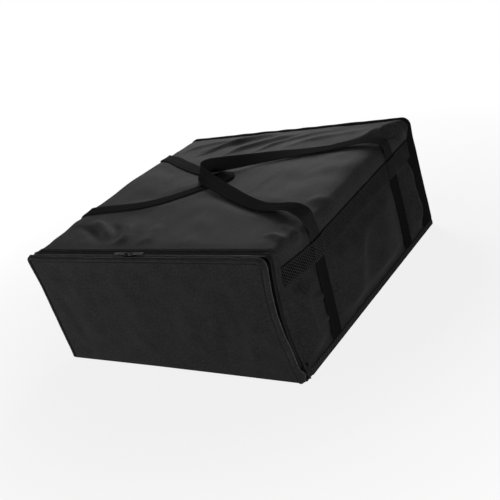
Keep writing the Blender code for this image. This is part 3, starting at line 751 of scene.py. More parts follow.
def archedGrid(inset, foot, cell, turns=None):
    # columns of places inside the bag's section, their tops following its rounded corners
    left, right = turns or (bag["corner"], bag["corner"])
    angles = np.linspace(0, math.pi / 2, 9)[1:]
    flat = np.linspace(left - bag["half"], bag["half"] - right, int(2 * bag["half"] / cell) + 1)
    leftArc, rightArc = max(left - inset, 0.4 * mm), max(right - inset, 0.4 * mm)
    leftX = left - bag["half"] - leftArc * np.sin(angles)[::-1]
    rightX = bag["half"] - right + rightArc * np.sin(angles)
    x = np.concatenate([leftX, flat, rightX])
    level = np.linspace(leftArc - left, rightArc - right, len(flat))
    top = bag["height"] + np.concatenate([leftArc * np.cos(angles)[::-1] - left, level,
                                          rightArc * np.cos(angles) - right])
    share = np.linspace(0, 1, int((bag["height"] - foot) / cell) + 1)
    return np.broadcast_to(x[:, None], (len(x), len(share))), foot + share[None, :] * (top[:, None] - foot)


def panelEnvelope(x, z, foot, margin):
    # 1 inside an end panel, falling to 0 at its edges
    sides = 1 - eased(np.abs(x), bag["half"] - margin, bag["half"] - 2 * mm)
    return sides * eased(z, foot, foot + margin) * (1 - eased(z, bag["height"] - margin, bag["height"] - 2 * mm))


flapLook = {
    "edge": 3.2 * mm, "cell": 3.2 * mm, "turns": (9.5 * mm, 20 * mm), "stitches": 0.5 * mm,
    "wave": 1.5 * mm, "waveLength": 130 * mm, "pucker": 0.35 * mm, "puckerLength": 42 * mm,
    "foot": 4 * mm, "margin": 46 * mm, "turnedIn": 0.9 * mm, "turnedEnd": (1.1 * mm, 5.6 * mm),
    "tuck": 4.2 * mm, "tuckSide": (120 * mm, 240 * mm), "tuckHeight": (40 * mm, 150 * mm),
}
flapFolds = (
    ((-170, 190), (-150, 40), 22, 2.6), ((-60, 190), (-40, 60), 30, 2.2), ((30, 10), (150, 190), 26, 3.8),
    ((100, 6), (205, 170), 17, -5.6), ((170, 16), (232, 150), 15, 5.0), ((-215, 150), (-190, 20), 14, -2.4),
    ((-120, 30), (-20, 60), 16, 1.6),
)


def flapRise(x, z):
    # how far the flap's front stands out
    soft = flapLook["wave"] * ripples(x, 0.6 * z, flapLook["waveLength"], 31)
    soft = soft + flapLook["pucker"] * ripples(x, z, flapLook["puckerLength"], 33)
    return (soft + ridges(x, z, flapFolds)) * panelEnvelope(x, z, flapLook["foot"], flapLook["margin"])


def tucked(places):
    # the flap's right edge stands in from the mouth's, most at the top
    places = np.array(places, float)
    x, z = places[..., 0], places[..., 2]
    places[..., 0] -= flapLook["tuck"] * eased(x, *flapLook["tuckSide"]) * eased(z, *flapLook["tuckHeight"])
    return settle(places)


def flapRim(x, z):
    # the rim from the right foot over the top to the left foot: places, ways out and where each
    # place lies on the bag's own section
    index = np.arange(x.size).reshape(x.shape)
    start = np.concatenate([index[-1], index[-2:0:-1, -1], index[0][::-1]])
    px, pz = x.ravel()[start], z.ravel()[start]
    left, right = flapLook["turns"]
    radius = np.where(px > 0, right, left)
    away = np.clip(np.abs(px) - bag["half"] + radius, 0, None)
    up = np.clip(pz - bag["height"] + radius, 0, None)
    angle = np.arctan2(away, up)
    corner = bag["flat"] + bag["corner"] * angle
    flat = np.abs(px) / (bag["half"] - radius) * bag["flat"]
    down = bag["height"] - bag["corner"]
    side = bag["flat"] + bag["corner"] * math.pi / 2 + down * (1 - pz / (bag["height"] - radius))
    s = np.where(up <= 0, side, np.where(away <= 0, flat, corner)) * np.sign(px)
    return start, together(np.sign(px) * np.sin(angle), 0 * px, np.cos(angle)), s


def ringSheet(rings, uvs):
    # faces and uvs between rings of places
    band = np.arange(len(rings) * len(rings[0])).reshape(len(rings), len(rings[0]))
    faces = quads(band)[:, ::-1]
    return np.vstack(rings), faces, uvs.reshape(-1, 2)[faces.ravel()]


def makeFlapCloth():
    # the front panel, whose edge turns back; gives the rim on which the hem and the tape are sewn
    edge, front = flapLook["edge"], bag["front"]
    x, z = archedGrid(edge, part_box("flap_cloth")[0].z, flapLook["cell"], flapLook["turns"])
    face = together(x, front - flapRise(x, z), z).reshape(-1, 3)
    rim, ways, s = flapRim(x, z)
    start = face[rim]
    walked = walkedAlong(start)
    turned = [((edge - flapLook["turnedIn"]) * math.sin(a), front + edge * (1 - math.cos(a)))
              for a in np.radians((22.5, 45, 67.5, 90))]
    inward, behind = flapLook["turnedEnd"]
    rings = [start]
    for out, y in turned + [(edge - inward, front + behind)]:
        rings.append(start + ways * out)
        rings[-1][:, 1] = y
    uv = together(walked[None, :], np.arange(len(rings))[:, None] * 1.2 * mm)
    points, faces, uvs = ringSheet(rings, uv)
    # the first ring is the face's own rim
    faces = np.where(faces < len(rim), rim[np.minimum(faces, len(rim) - 1)], faces - len(rim) + x.size)
    grid = quads(np.arange(x.size).reshape(x.shape))
    uvs = np.vstack([together(x, z).reshape(-1, 2)[grid.ravel()], uvs])
    cloth = meshPiece("flapCloth", tucked(np.vstack([face, points[len(rim):]])), grid.tolist() + faces.tolist(),
                      uvs, finishes["wall"])
    thicken(cloth, 0.8 * mm)
    placeLayer(cloth, "flap", "outer_cloth", "flap_cloth")
    return start, ways, s, walked


def makeFlapLayers():
    layers = (("flapFoam", "flap_foam", "foam", 1.3 * mm, 5.4 * mm),
              ("flapFoil", "flap_lining", "foil", 7.3 * mm, 0.6 * mm))
    for word, replaced, slot, depth, thick in layers:
        x, z = archedGrid(2.2 * mm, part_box(replaced)[0].z, 6 * mm, flapLook["turns"])
        puff = 0.4 * mm * ripples(x, z, 30 * mm, 43) * panelEnvelope(x, z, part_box("flap_cloth")[0].z, 30 * mm)
        y = bag["front"] + depth - flapRise(x, z) + puff * (slot == "foil")
        layer = gridPiece(word, tucked(together(x, y, z)), together(x, z), finishes[slot], thick)
        placeLayer(layer, "flap", slot, replaced)


# the hem's section: how far in from the edge and how far behind the front, in millimetres, and how loose
hemProfile = ((6.4, 0.3, 0), (6.3, -0.2, 0), (5.8, -0.3, 0), (5.3, 0.1, 0), (4.8, -0.6, 0.3), (3.8, -0.9, 0.4),
              (2.4, -0.9, 0.6), (1.4, -0.5, 0.6), (0.6, 0.4, 0.6), (0.2, 1.6, 0.6), (0.1, 2.8, 0.6),
              (0.2, 3.8, 0.8), (-0.2, 4.5, 1), (-0.9, 5.0, 1), (-1.0, 5.6, 1), (-0.2, 6.1, 1), (1.4, 6.1, 0.8))
hemLook = {"wobble": 0.45 * mm, "wobbleLength": 40 * mm, "drift": 0.8 * mm, "driftLength": 95 * mm,
           "close": 6.5 * mm, "closeFrom": (4 * mm, 9 * mm), "closeTo": (12 * mm, 25 * mm)}


def makeHem(start, ways, walked):
    # the folded hem with the soft roll that stands up beside the zip; gives the roll's last ring
    wobble = hemLook["wobble"] * ripples(walked, 0 * walked, hemLook["wobbleLength"], 41)
    drift = hemLook["drift"] * ripples(walked, 0 * walked, hemLook["driftLength"], 45)
    # below the teeth the roll closes against the body's tape
    lowest = eased(start[:, 2], *hemLook["closeFrom"]) * (1 - eased(start[:, 2], *hemLook["closeTo"]))
    drift = drift + hemLook["close"] * lowest
    rings = []
    for inset, behind, loose in hemProfile:
        ring = start + ways * (flapLook["edge"] - inset * mm + loose * wobble)[:, None]
        flatY = bag["front"] - flapRise(ring[:, 0], ring[:, 2]) * (behind < 1)
        ring[:, 1] = flatY + behind * mm + (behind > 4) * drift
        rings.append(tucked(ring))
    depth = walkedAlong(np.array(hemProfile)[:, :2]) * mm
    uv = together(walked[None, :], depth[:, None])
    points, faces, uvs = ringSheet(rings, uv)
    hem = meshPiece("flapHem", points, faces.tolist(), uvs, finishes["hem"])
    thicken(hem, 0.5 * mm)
    place(hem, "flap", "outer_cloth")
    return rings[-1]


def makeFlapTape(rolled, s, walked):
    # the flap's zip tape, from inside the hem's roll down to the teeth's cord
    low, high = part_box("flap_zip_tape")
    back = wallPlace(s, high.y, -0.15 * mm, soft=False)
    near = wallPlace(s, low.y, -0.3 * mm, soft=False)
    _, _, wayX, wayZ = section(s)
    inward = -together(wayX, 0 * s, wayZ)
    rings = [rolled + inward * 2.4 * mm - [0, 0.8 * mm, 0], (rolled + near) / 2 + inward * 3.4 * mm, near, back]
    points, faces, uvs = ringSheet(rings, together(walked[None, :], np.arange(len(rings))[:, None] * 2 * mm))
    tape = meshPiece("flapZipTape", points, faces.tolist(), uvs, finishes["tape"])
    thicken(tape, 0.5 * mm)
    place(tape, "flap", "outer_cloth", "flap_zip_tape")


backLook = {"swell": 2.2 * mm, "wave": 3.0 * mm, "waveLength": 190 * mm, "pucker": 0.4 * mm, "puckerLength": 44 * mm,
            "foot": 10 * mm, "margin": 60 * mm}


def backRise(x, z):
    # how far the back wall stands out
    soft = backLook["wave"] * ripples(x, 0.7 * z, backLook["waveLength"], 51)
    soft = soft + backLook["pucker"] * ripples(x, z, backLook["puckerLength"], 53)
    return (backLook["swell"] + soft) * panelEnvelope(x, z, backLook["foot"], backLook["margin"])


def makeBack():
    stand, lining = bag["cloth"] + bag["seat"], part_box("back_lining")
    layers = (
        ("backCloth", "back_cloth", "outer_cloth", "oxford", 0, stand, bag["back"], bag["cloth"], 4 * mm),
        ("backFoam", "back_foam", "foam", "foam", bag["foamInset"], stand, bag["back"] - bag["foamInset"],
         bag["foam"] - 2 * bag["seat"], 9 * mm),
        ("backFoil", "back_lining", "foil", "foil", bag["foilInset"] + bag["foil"] + bag["seat"], lining[0].z,
         lining[1].y, bag["foil"], 5 * mm),
    )
    for word, replaced, slot, finish, inset, foot, y, thick, cell in layers:
        x, z = (part[::-1] for part in archedGrid(inset, foot, cell))
        grid = settle(together(x, y + backRise(x, z), z))
        layer = gridPiece(word, grid, together(x, z), finishes[finish], thick)
        placeLayer(layer, "shell", slot, replaced)


def makeBase():
    # cloth underneath, then the stiff board, foam and foil
    layers = (
        ("baseCloth", "base_cloth", "outer_cloth", "oxford", 0),
        ("baseBoard", "base_board", "board", "board", 0),
        ("baseFoam", "base_foam", "foam", "foam", 0),
        ("baseFoil", "base_lining", "foil", "foil", 0.5 * mm),
    )
    for word, replaced, slot, finish, puff in layers:
        low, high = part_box(replaced)
        x, y = np.meshgrid(np.linspace(low.x, high.x, 70), np.linspace(low.y, high.y, 70), indexing="ij")
        ends = 1 - eased(np.abs(x), high.x - 20 * mm, high.x)
        z = high.z + puff * (ripples(x, y, 40 * mm, 61) * ends - 0.5)
        places = settle(together(x, y, z))
        places[..., 1] = np.maximum(places[..., 1], low.y)  # clear of the flap when it lies open
        places[..., 2] = z
        layer = gridPiece(word, places, together(x, y), finishes[finish], (high.z - low.z) * 0.98)
        placeLayer(layer, "shell", slot, replaced)


def sweepSheet(name, profile, reach, step, finish, thick, loose, seed, shadeWidening=0.0):
    # a strip bent round the section: its profile gives depth, height over the cloth and looseness;
    # on the side walls it may be widened forwards, a darker band of painted shade
    s = np.linspace(-reach, reach, int(2 * reach / step) + 1)
    y, out, free = (np.array(column) for column in zip(*profile))
    outs = out[None, :] + free[None, :] * (loose * ripples(s, 0 * s, 30 * mm, seed))[:, None]
    share = shadeWidening * eased(np.abs(s), bag["toSeam"] - 20 * mm, bag["toSeam"] + 20 * mm)
    ys = y[None, :] - share[:, None] * np.clip(y.max() - y, 0, None)[None, :]
    uv = together(s[:, None], walkedAlong(together(y, out))[None, :])
    return gridPiece(name, wallPlace(s[:, None], ys, outs), uv, finish, thick)


# the body tape's section: how far behind its front edge, how far out on top and on the right side, looseness
tapeProfile = (
    (0, -0.15, -0.15, 0), (0.4, 0.9, 1.6, 0.4), (1.0, 1.7, 2.9, 1), (1.9, 2.0, 3.3, 1), (2.8, 1.6, 2.7, 1),
    (3.4, 0.8, 1.0, 0.5), (3.9, 0.2, -0.4, 0), (5.2, 0.1, -0.6, 0), (6.8, 0.2, -0.5, 0), (7.4, 0.7, 0.4, 0),
    (8.0, 1.1, 1.1, 0.3), (9.4, 0.9, 1.0, 0.3), (10.0, 0.55, 0.6, 0), (10.6, 0.95, 1.1, 0.3),
    (12.2, 0.9, 1.0, 0.2), (12.7, 0.6, 0.7, 0), (13.2, 0.9, 1.0, 0), (14.4, 0.8, 0.9, 0), (15.0, 0.3, 0.3, 0),
)


def makeBodyTape():
    # the body's zip tape: a soft roll beside the teeth, a groove and the flat stitched part behind it
    reach = bag["toFloor"] - 1.5 * mm
    s = np.linspace(-reach, reach, int(2 * reach / (2.2 * mm)) + 1)
    behind, top, side, free = np.array(tapeProfile).T * mm
    share = eased(s, bag["flat"] - 30 * mm, bag["flat"] + 20 * mm)[:, None]
    outs = top * (1 - share) + side * share + free * ripples(s, 0 * s, 44 * mm, 71)[:, None] * 0.35
    ys = tapeFront + behind + free * ripples(s, 0 * s, 60 * mm, 73)[:, None] * 0.4
    walked = walkedAlong(together(behind, top))
    uv = together(s[:, None], walked[None, :])
    tape = gridPiece("bodyZipTape", wallPlace(s[:, None], ys, outs), uv, finishes["bodyTape"], 0.7 * mm)
    placeLayer(tape, "shell", "outer_cloth", "body_zip_tape")


# a tooth's outline as lengths in millimetres and shares of its reach; each level's size and depth
tooth = {
    "outline": ((-0.78, 0), (-0.70, 0.25), (-0.42, 0.5), (-0.42, 0.62), (-0.62, 0.78), (-0.5, 0.95),
                (0, 1.0), (0.5, 0.95), (0.62, 0.78), (0.42, 0.62), (0.42, 0.5), (0.70, 0.25), (0.78, 0)),
    "levels": ((0.82, 0), (1.0, 0.3), (1.0, 1.4), (0.82, 1.7)),
    "pitch": 2.5 * mm, "foot": 26 * mm, "reach": 1.9 * mm, "root": 1.1 * mm, "proud": 0.6 * mm,
    "cord": 0.8 * mm, "cordDepth": 0.85 * mm,
}


def makeTeeth(name, towards, phase, body, replaced):
    # moulded teeth on a cord, each with a neck and a rounded head that seats between its neighbours
    reach, proud, cord = bag["toFloor"] - tooth["foot"], tooth["proud"], tooth["cord"]
    count = int(2 * reach / tooth["pitch"])
    root = bag["chain"] - towards * tooth["root"]
    points, faces = [], []
    for s in (np.arange(count) + phase - count / 2 + 0.25) * tooth["pitch"]:
        faces += tubeFaces(len(tooth["levels"]), len(tooth["outline"]), len(points))
        points += [(s + along * mm * size, root + towards * tooth["reach"] * across * (0.9 + 0.1 * size),
                    proud - depth * mm)
                   for size, depth in tooth["levels"] for along, across in tooth["outline"]]
    steps, angles = np.linspace(-reach, reach, count), np.linspace(0, 2 * math.pi, 9)[:-1]
    faces += tubeFaces(len(steps), len(angles), len(points))
    points += [(s, root - towards * cord + cord * math.cos(a), proud - tooth["cordDepth"] + cord * math.sin(a))
               for s in steps for a in angles]
    points = np.array(points)
    uvs = np.vstack([points[list(face), :2] for face in faces])
    chain = meshPiece(name, wallPlace(*points.T, soft=False), faces, uvs, finishes["teeth"])
    cleaned(chain.data)
    place(chain, body, "zip_plastic", replaced)


def strapFrames(line):
    # at each point of a strap: the way across its width and the way out of its face
    ahead = np.gradient(line[:, :3], axis=0)
    ahead[0], ahead[-1] = (0, 0, 1), (0, 0, -1)
    ahead /= np.linalg.norm(ahead, axis=1)[:, None]
    side = np.sign(line[0, 0])
    across = np.maximum(side * line[:, 0] - bag["flat"], 0) * side
    rise = np.maximum(line[:, 2] - (bag["height"] - bag["corner"]), 0)
    up = together(across, 0 * rise, rise)
    up -= (up * ahead).sum(axis=1)[:, None] * ahead
    up /= np.linalg.norm(up, axis=1)[:, None]
    away = np.cross(up, ahead) * side
    lean = line[:, 3][:, None]
    face = np.cos(lean) * up + np.sin(lean) * away
    return np.cross(ahead, face), face


def strapRings(middle, across, face):
    # a woven strap's rounded section along its middle line, with a rib for every pick
    half, thick = webbing["width"] / 2, webbing["thick"] / 2
    outline = ((-1.0, 0.0), (-0.985, 0.7), (-0.93, 0.96), (-0.55, 1.0), (0.0, 1.0), (0.55, 1.0), (0.93, 0.96),
               (0.985, 0.7), (1.0, 0.0), (0.985, -0.7), (0.93, -0.96), (0.55, -1.0), (0.0, -1.0), (-0.55, -1.0),
               (-0.93, -0.96), (-0.985, -0.7))
    walked = walkedAlong(middle)
    rings = []
    for u, v in outline:
        slid = walked + webbing["slant"] * abs(u) * half
        rib = webbing["rib"] * (np.abs(np.sin(math.pi * slid / webbing["pitch"])) - 0.6) * bool(v)
        rings.append(middle + across * (u * half) + face * (v * thick + np.sign(v) * rib)[:, None])
    uv = [together(walked, u * half) for u, v in outline + outline[:1]]
    return np.stack(rings, axis=1), np.stack(uv, axis=1)


def makeLoop(name, line, replaced):
    fine = spaced(line, webbing["step"])
    across, face = strapFrames(fine)
    for turned in (across, face):
        for _ in range(webbing["smoothing"]):
            turned[1:-1] = (turned[:-2] + 2 * turned[1:-1] + turned[2:]) / 4
        turned /= np.linalg.norm(turned, axis=1)[:, None]
    rings, uv = strapRings(fine[:, :3], across, face)
    loop = tubePiece(name, settle(rings), uv, finishes["webbing"])
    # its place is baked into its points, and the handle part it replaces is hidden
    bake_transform(loop)
    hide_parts(replaced)


def makeSewnStrap(name, side, at, replaced):
    # the strap sewn up the wall, from the base binding to under the mesh band
    low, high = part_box(replaced)
    z = np.linspace(low.z, high.z, int((high.z - low.z) / webbing["step"]))
    y = at + 0.8 * mm * np.sin(z / (31 * mm) + side * at * 40)
    middle = together(side * (abs(low.x) + abs(high.x)) / 2, y, z)
    across = np.broadcast_to((0.0, 1.0, 0.0), middle.shape)
    face = np.broadcast_to((float(side), 0.0, 0.0), middle.shape)
    rings, uv = strapRings(middle, across, face)
    place(tubePiece(name, settle(rings), uv, finishes["shadedSideWebbing"]), "shell", "webbing", replaced)


bandStart, bandEnd = tapeFront + 14.6 * mm, bag["back"] - 32 * mm
net = {"cell": 5.8 * mm, "row": 4.9 * mm, "hole": 0.40, "thick": 0.9 * mm, "overStrap": 13.2 * mm, "ramp": 7 * mm,
       "shadowSheet": 0.15 * mm}


def bandOut(side, y):
    # how far the band's inner face stands over the wall, higher where a strap passes under it
    over = 0
    for strap in strapPlaces[side]:
        over = np.maximum(over, 1 - eased(np.abs(y - strap), net["overStrap"], net["overStrap"] + net["ramp"]))
    return bag["seat"] + over * (webbing["thick"] + 0.5 * mm)


def netPatches(columns, rows, side):
    # the net in units of its cells: each cell is four patches round an open diamond
    hole = net["hole"]
    patch = np.array([(0, hole), (hole, 0), (0.5, 0), (0.5, 0.5 - hole), (0.5 - hole, 0.5), (0, 0.5)])
    points, faces = [], []
    for i in range(columns):
        for j in range(rows):
            for su, sv in ((1, 1), (-1, 1), (-1, -1), (1, -1)):
                ring = tuple(range(len(points), len(points) + len(patch)))
                faces.append(ring if su * sv * side < 0 else ring[::-1])
                points += [(i + 0.5 + u, j + 0.5 + v) for u, v in patch * (su, sv)]
    return np.array(points), faces


def makeBand(name, side, replaced):
    # open knitted net over a near-black sheet that paints the shade seen through its holes
    low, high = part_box(replaced)
    long, tall = bandEnd - bandStart, high.z - low.z
    columns, rows = int(long / net["cell"]), int(tall / net["row"])
    places, faces = netPatches(columns, rows, side)
    flat = places * (long / columns, tall / rows)
    y, z = bandStart + flat[:, 0], low.z + flat[:, 1]
    x = side * (bag["half"] + bandOut(side, y) + net["thick"])
    uvs = np.vstack([flat[list(face)] for face in faces])
    netting = meshPiece(name, settle(together(x, y, z)), faces, uvs, finishes["net"])
    cleaned(netting.data, weld=0.02 * mm, turned=False)
    thicken(netting, net["thick"])
    placeLayer(netting, "shell", "mesh", replaced)
    # the near-black sheet under the net is painted shade in its holes
    y, z = np.meshgrid(np.arange(bandStart + 0.5 * mm, bandEnd, 2 * mm),
                       np.linspace(low.z + 0.5 * mm, high.z - 0.5 * mm, 7), indexing="ij")
    grid = settle(together(side * (bag["half"] + bandOut(side, y) + net["shadowSheet"]), y, z))
    shadowSheet = gridPiece(name + "Backing", grid[::side], together(y, z)[::side], finishes["netBacking"])
    place(shadowSheet, "shell", "mesh")


# the band's edge tapes: place and half their width; their section, out in millimetres and up in half widths
bandEdges = (("Top", bag["seam"] - 0.4 * mm, 1.5 * mm), ("Foot", bag["bandFoot"] + 0.6 * mm, 1.0 * mm))
edgeProfile = ((-0.3, -1), (0.7, -0.8), (0.95, 0), (0.7, 0.8), (-0.3, 1))


def makeBandEdges(word, side):
    y = np.arange(bandStart, bandEnd + 1 * mm, 2 * mm)
    outs = bag["half"] + bandOut(side, y) + 0.35 * mm
    wave = 0.4 * mm * ripples(y, 0 * y, 26 * mm, 81 + side)
    for part, height, half in bandEdges:
        rings = [together(side * (outs + out * mm), y, height + wave + half * up) for out, up in edgeProfile]
        uv = together(y[:, None], np.arange(len(rings) + 1)[None, :] * 1.0 * mm)
        edge = tubePiece(word + "Band" + part + "Edge", settle(np.stack(rings, axis=1)), uv, finishes["binding"])
        place(edge, "shell", "binding")


# the back binding's section, in millimetres behind its front or back edge and out from the wall, with looseness
bindingFront = ((0, 0.1, 0), (0.3, 1.0, 1), (1.1, 1.5, 1), (1.8, 0.7, 0.5), (2.6, 1.5, 1), (3.4, 0.8, 0.5),
                (4.4, 1.6, 1), (5.4, 0.9, 0.5), (6.6, 1.8, 1))
bindingBack = ((-2.0, 1.9, 1), (-0.3, 1.3, 1), (0.3, 0, 0), (0.1, -3.0, 0), (0.4, -7.0, 0), (-0.1, -9.6, 0),
               (-1.2, -10, 0))


def makeBackBinding():
    # tape folded over the back edge of the walls
    low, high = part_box("back_binding")
    profile = [(edge + behind * mm, out * mm, free) for edge, part in ((low.y, bindingFront), (high.y, bindingBack))
               for behind, out, free in part]
    # on the side walls the dark tape reaches further forward: painted shade over the walls' rear
    tape = sweepSheet("backBinding", profile, bag["toFloor"] - 12.5 * mm, 1.6 * mm, finishes["binding"], 0.7 * mm,
                      0.35 * mm, 91, 3.2)
    place(tape, "shell", "binding", "back_binding")


# the base binding's section, in millimetres out from the wall and up from the floor, with looseness
baseProfile = ((0.0, 10.2, 0.6), (0.9, 10.0, 0.6), (1.25, 8.8, 0.4), (0.8, 7.6, 0.2), (1.3, 6.0, 0.4),
               (1.35, 3.0, 0.3), (0.9, 0.7, 0.1), (0.0, 0.15, 0), (-1.2, 0.1, 0))


def makeBaseBinding():
    # tape folded round the bottom edges, in one U
    outer = bag["half"] + bag["seat"]
    front, rear, bend = tapeBack - 3 * mm, bag["back"] + bag["seat"], 5 * mm
    turn = [(outer - bend + bend * math.cos(a), rear - bend + bend * math.sin(a))
            for a in np.linspace(0, math.pi / 2, 8)]
    half = [(outer, y) for y in np.arange(front, rear - bend, 2.5 * mm)] + turn
    middle = [(x, rear) for x in np.arange(outer - bend - 3 * mm, -outer + bend + 1 * mm, -3 * mm)]
    path = np.array(half + middle + [(-x, y) for x, y in reversed(half)])
    ways = np.gradient(path, axis=0)
    ways = together(ways[:, 1], -ways[:, 0])
    ways /= np.linalg.norm(ways, axis=1)[:, None]
    walked = walkedAlong(path)
    wobble = ripples(walked, 0 * walked, 28 * mm, 93)
    columns = []
    for out, height, free in baseProfile:
        spots = path + ways * (out + free * wobble * 0.4)[:, None] * mm
        columns.append(together(*spots.T, np.maximum((height + free * wobble) * mm, 0.1 * mm)))
    grid = settle(np.stack(columns, axis=1))
    grid[..., 2] = np.maximum(grid[..., 2], 0.05 * mm)
    uv = together(walked[:, None], walkedAlong(np.array(baseProfile)[:, :2])[None, :] * mm)
    place(gridPiece("baseBinding", grid, uv, finishes["baseBinding"], 0.6 * mm), "shell", "binding", "base_binding")


def makeMouthBinding():
    # tape closing the raw edges of the walls round the mouth
    low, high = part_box("mouth_binding")
    profile = [(high.y, -1.5 * mm, 0), (low.y + 0.6 * mm, -1.6 * mm, 0), (low.y, -2.4 * mm, 0),
               (low.y - 0.1 * mm, -5 * mm, 1), (low.y, -8.4 * mm, 0), (low.y + 0.6 * mm, -9.1 * mm, 0),
               (high.y + 3 * mm, -9.5 * mm, 0)]
    tape = sweepSheet("mouthBinding", profile, bag["toFloor"] - 1.3 * mm, 2.5 * mm, finishes["binding"], -0.5 * mm,
                      0.15 * mm, 95)
    place(tape, "shell", "binding", "mouth_binding")


def makeSill():
    # tape closing the base's raw front edge, inside the mouth
    foam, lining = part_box("base_foam"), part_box("base_lining")
    front, top = min(foam[0].y, lining[0].y) - 0.6 * mm, lining[1].z
    profile = ((9 * mm, 0.8 * mm), (4 * mm, 1.3 * mm), (0.8 * mm, 1.0 * mm), (0, 0), (-0.2 * mm, -0.35 * top),
               (0, -0.7 * top), (0.6 * mm, 1.0 * mm - top))
    x = np.arange(foam[0].x + 0.5 * mm, foam[1].x, 3 * mm)
    behind, rise = np.array(profile).T
    grid = together(x[:, None], front + behind, top + rise)
    places = settle(grid)
    places[..., 1:] = grid[..., 1:]
    uv = together(x[:, None], walkedAlong(together(behind, rise)))
    place(gridPiece("mouthSillTape", places[::-1], uv[::-1], finishes["binding"], 0.5 * mm), "shell", "binding")


def makeHingeSeam():
    # the rolled seam at the flap's foot
    low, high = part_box("flap_hinge_seam")
    x = np.arange(low.x, high.x, 1.2 * mm)
    radius = (high.z - low.z) / 2 * (1 + 0.05 * np.sin(x * math.pi / (1.2 * mm)))
    y, z = (low.y + high.y) / 2, (low.z + high.z) / 2
    rings = np.stack([together(x, y + radius * math.cos(a), z + radius * math.sin(a))
                      for a in np.linspace(0, 2 * math.pi, 13)[:-1]], axis=1)
    places = settle(rings)
    places[..., 1:] = rings[..., 1:]  # it stays on the fold's axis
    uv = together(x[:, None], np.arange(13)[None, :] * 0.9 * mm)
    place(tubePiece("flapHingeSeam", places, uv, finishes["binding"]), "shell", "binding", "flap_hinge_seam")


# a stitch's section along its length: share of the length, height and girth in radii
thread = {"pitch": 4.0 * mm, "stitch": 3.3 * mm, "radius": 0.4 * mm,
          "rings": ((0.0, -0.6, 0.35), (0.14, 0.2, 0.9), (0.5, 0.45, 1.0), (0.86, 0.2, 0.9), (1.0, -0.6, 0.35))}


def stitchRow(name, line, ways, body):
    # a row of stitches along a line on the cloth, each sunk at both ends
    walked, radius = walkedAlong(line), thread["radius"]
    starts = np.arange(int(walked[-1] / thread["pitch"])) * thread["pitch"]

    def at(share, table):
        return together(*(np.interp(starts + share * thread["stitch"], walked, column) for column in table.T))

    along = at(1.0, line) - at(0.0, line)
    along /= np.linalg.norm(along, axis=1)[:, None]
    angles = np.linspace(0, 2 * math.pi, 7)[:-1]
    rings = []
    for share, lift, girth in thread["rings"]:
        way = at(share, ways)
        middle, aside = at(share, line) + way * lift * radius, np.cross(along, way)
        rings.append([middle + radius * girth * (math.cos(a) * aside + math.sin(a) * way) for a in angles])
    points = np.array(rings).transpose(2, 0, 1, 3).reshape(-1, 3)
    each = len(rings) * len(angles)
    faces = [face for first in range(0, len(points), each) for face in tubeFaces(len(rings), len(angles), first)]
    row = meshPiece(name, points, faces, np.zeros((sum(len(face) for face in faces), 2)), finishes["thread"])
    cleaned(row.data)
    place(row, body, "binding")


def archLine(y, out, reach):
    s = np.arange(-reach, reach, 1.5 * mm)
    _, _, wayX, wayZ = section(s)
    return wallPlace(s, y, out), together(wayX, 0 * s, wayZ)


def makeStitching():
    reach = bag["toFloor"] - 16 * mm
    for word, y, out in (("bodyTapeFrontStitches", tapeFront + 10.0 * mm, 0.6 * mm),
                         ("bodyTapeBackStitches", tapeFront + 12.7 * mm, 0.65 * mm),
                         ("backBindingStitches", bag["back"] - 5.6 * mm, 1.35 * mm)):
        stitchRow(word, *archLine(y, out, reach), "shell")
    # the flap's hem: one row just inside its inner edge
    x, z = archedGrid(flapLook["edge"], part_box("flap_cloth")[0].z, flapLook["cell"], flapLook["turns"])
    rim, ways, _ = flapRim(x, z)
    line = spaced(together(x.ravel()[rim], 0, z.ravel()[rim]) - ways * flapLook["stitches"], 1.5 * mm)
    line[:, 1] = bag["front"] - flapRise(line[:, 0], line[:, 2]) - 0.95 * mm
    stitchRow("flapHemStitches", tucked(line), np.broadcast_to((0.0, -1.0, 0.0), line.shape), "flap")
    for word, side in (("right", 1), ("left", -1)):
        y = np.arange(tapeBack + 3 * mm, bandEnd, 1.5 * mm)
        x = side * (bag["half"] + bandOut(side, y) + net["thick"] + 0.1 * mm)
        for part, z in (("Top", bag["seam"] - 3.0 * mm), ("Foot", bag["bandFoot"] + 2.6 * mm)):
            line = settle(together(x, y, z))
            ways = np.broadcast_to((float(side), 0.0, 0.0), line.shape)
            stitchRow(word + "Band" + part + "Stitches", line, ways, "shell")


def curvePiece(name, loops, thick, bevel, finish):
    # a flat outline with any holes, given thickness and rounded edges, lying level
    curve = bpy.data.curves.new(name, "CURVE")
    curve.dimensions = "2D"
    curve.fill_mode = "BOTH"
    curve.extrude = thick / 2 - bevel
    curve.bevel_depth = bevel
    curve.bevel_resolution = 2
    curve.offset = -bevel
    for loop in loops:
        spline = curve.splines.new("POLY")
        spline.points.add(len(loop) - 1)
        for point, (u, v) in zip(spline.points, loop):
            point.co = (u, v, 0, 1)
        spline.use_cyclic_u = True
    raw = bpy.data.objects.new(name + "Outline", curve)
    bpy.context.scene.collection.objects.link(raw)
    bpy.context.view_layer.update()
    data = bpy.data.meshes.new_from_object(raw.evaluated_get(bpy.context.evaluated_depsgraph_get()))
    bpy.data.objects.remove(raw, do_unlink=True)
    data.name = name
    cleaned(data, weld=0.001 * mm)
    data.materials.clear()
    data.materials.append(finish)
    made = bpy.data.objects.new(name, data)
    bpy.context.scene.collection.objects.link(made)
    return made


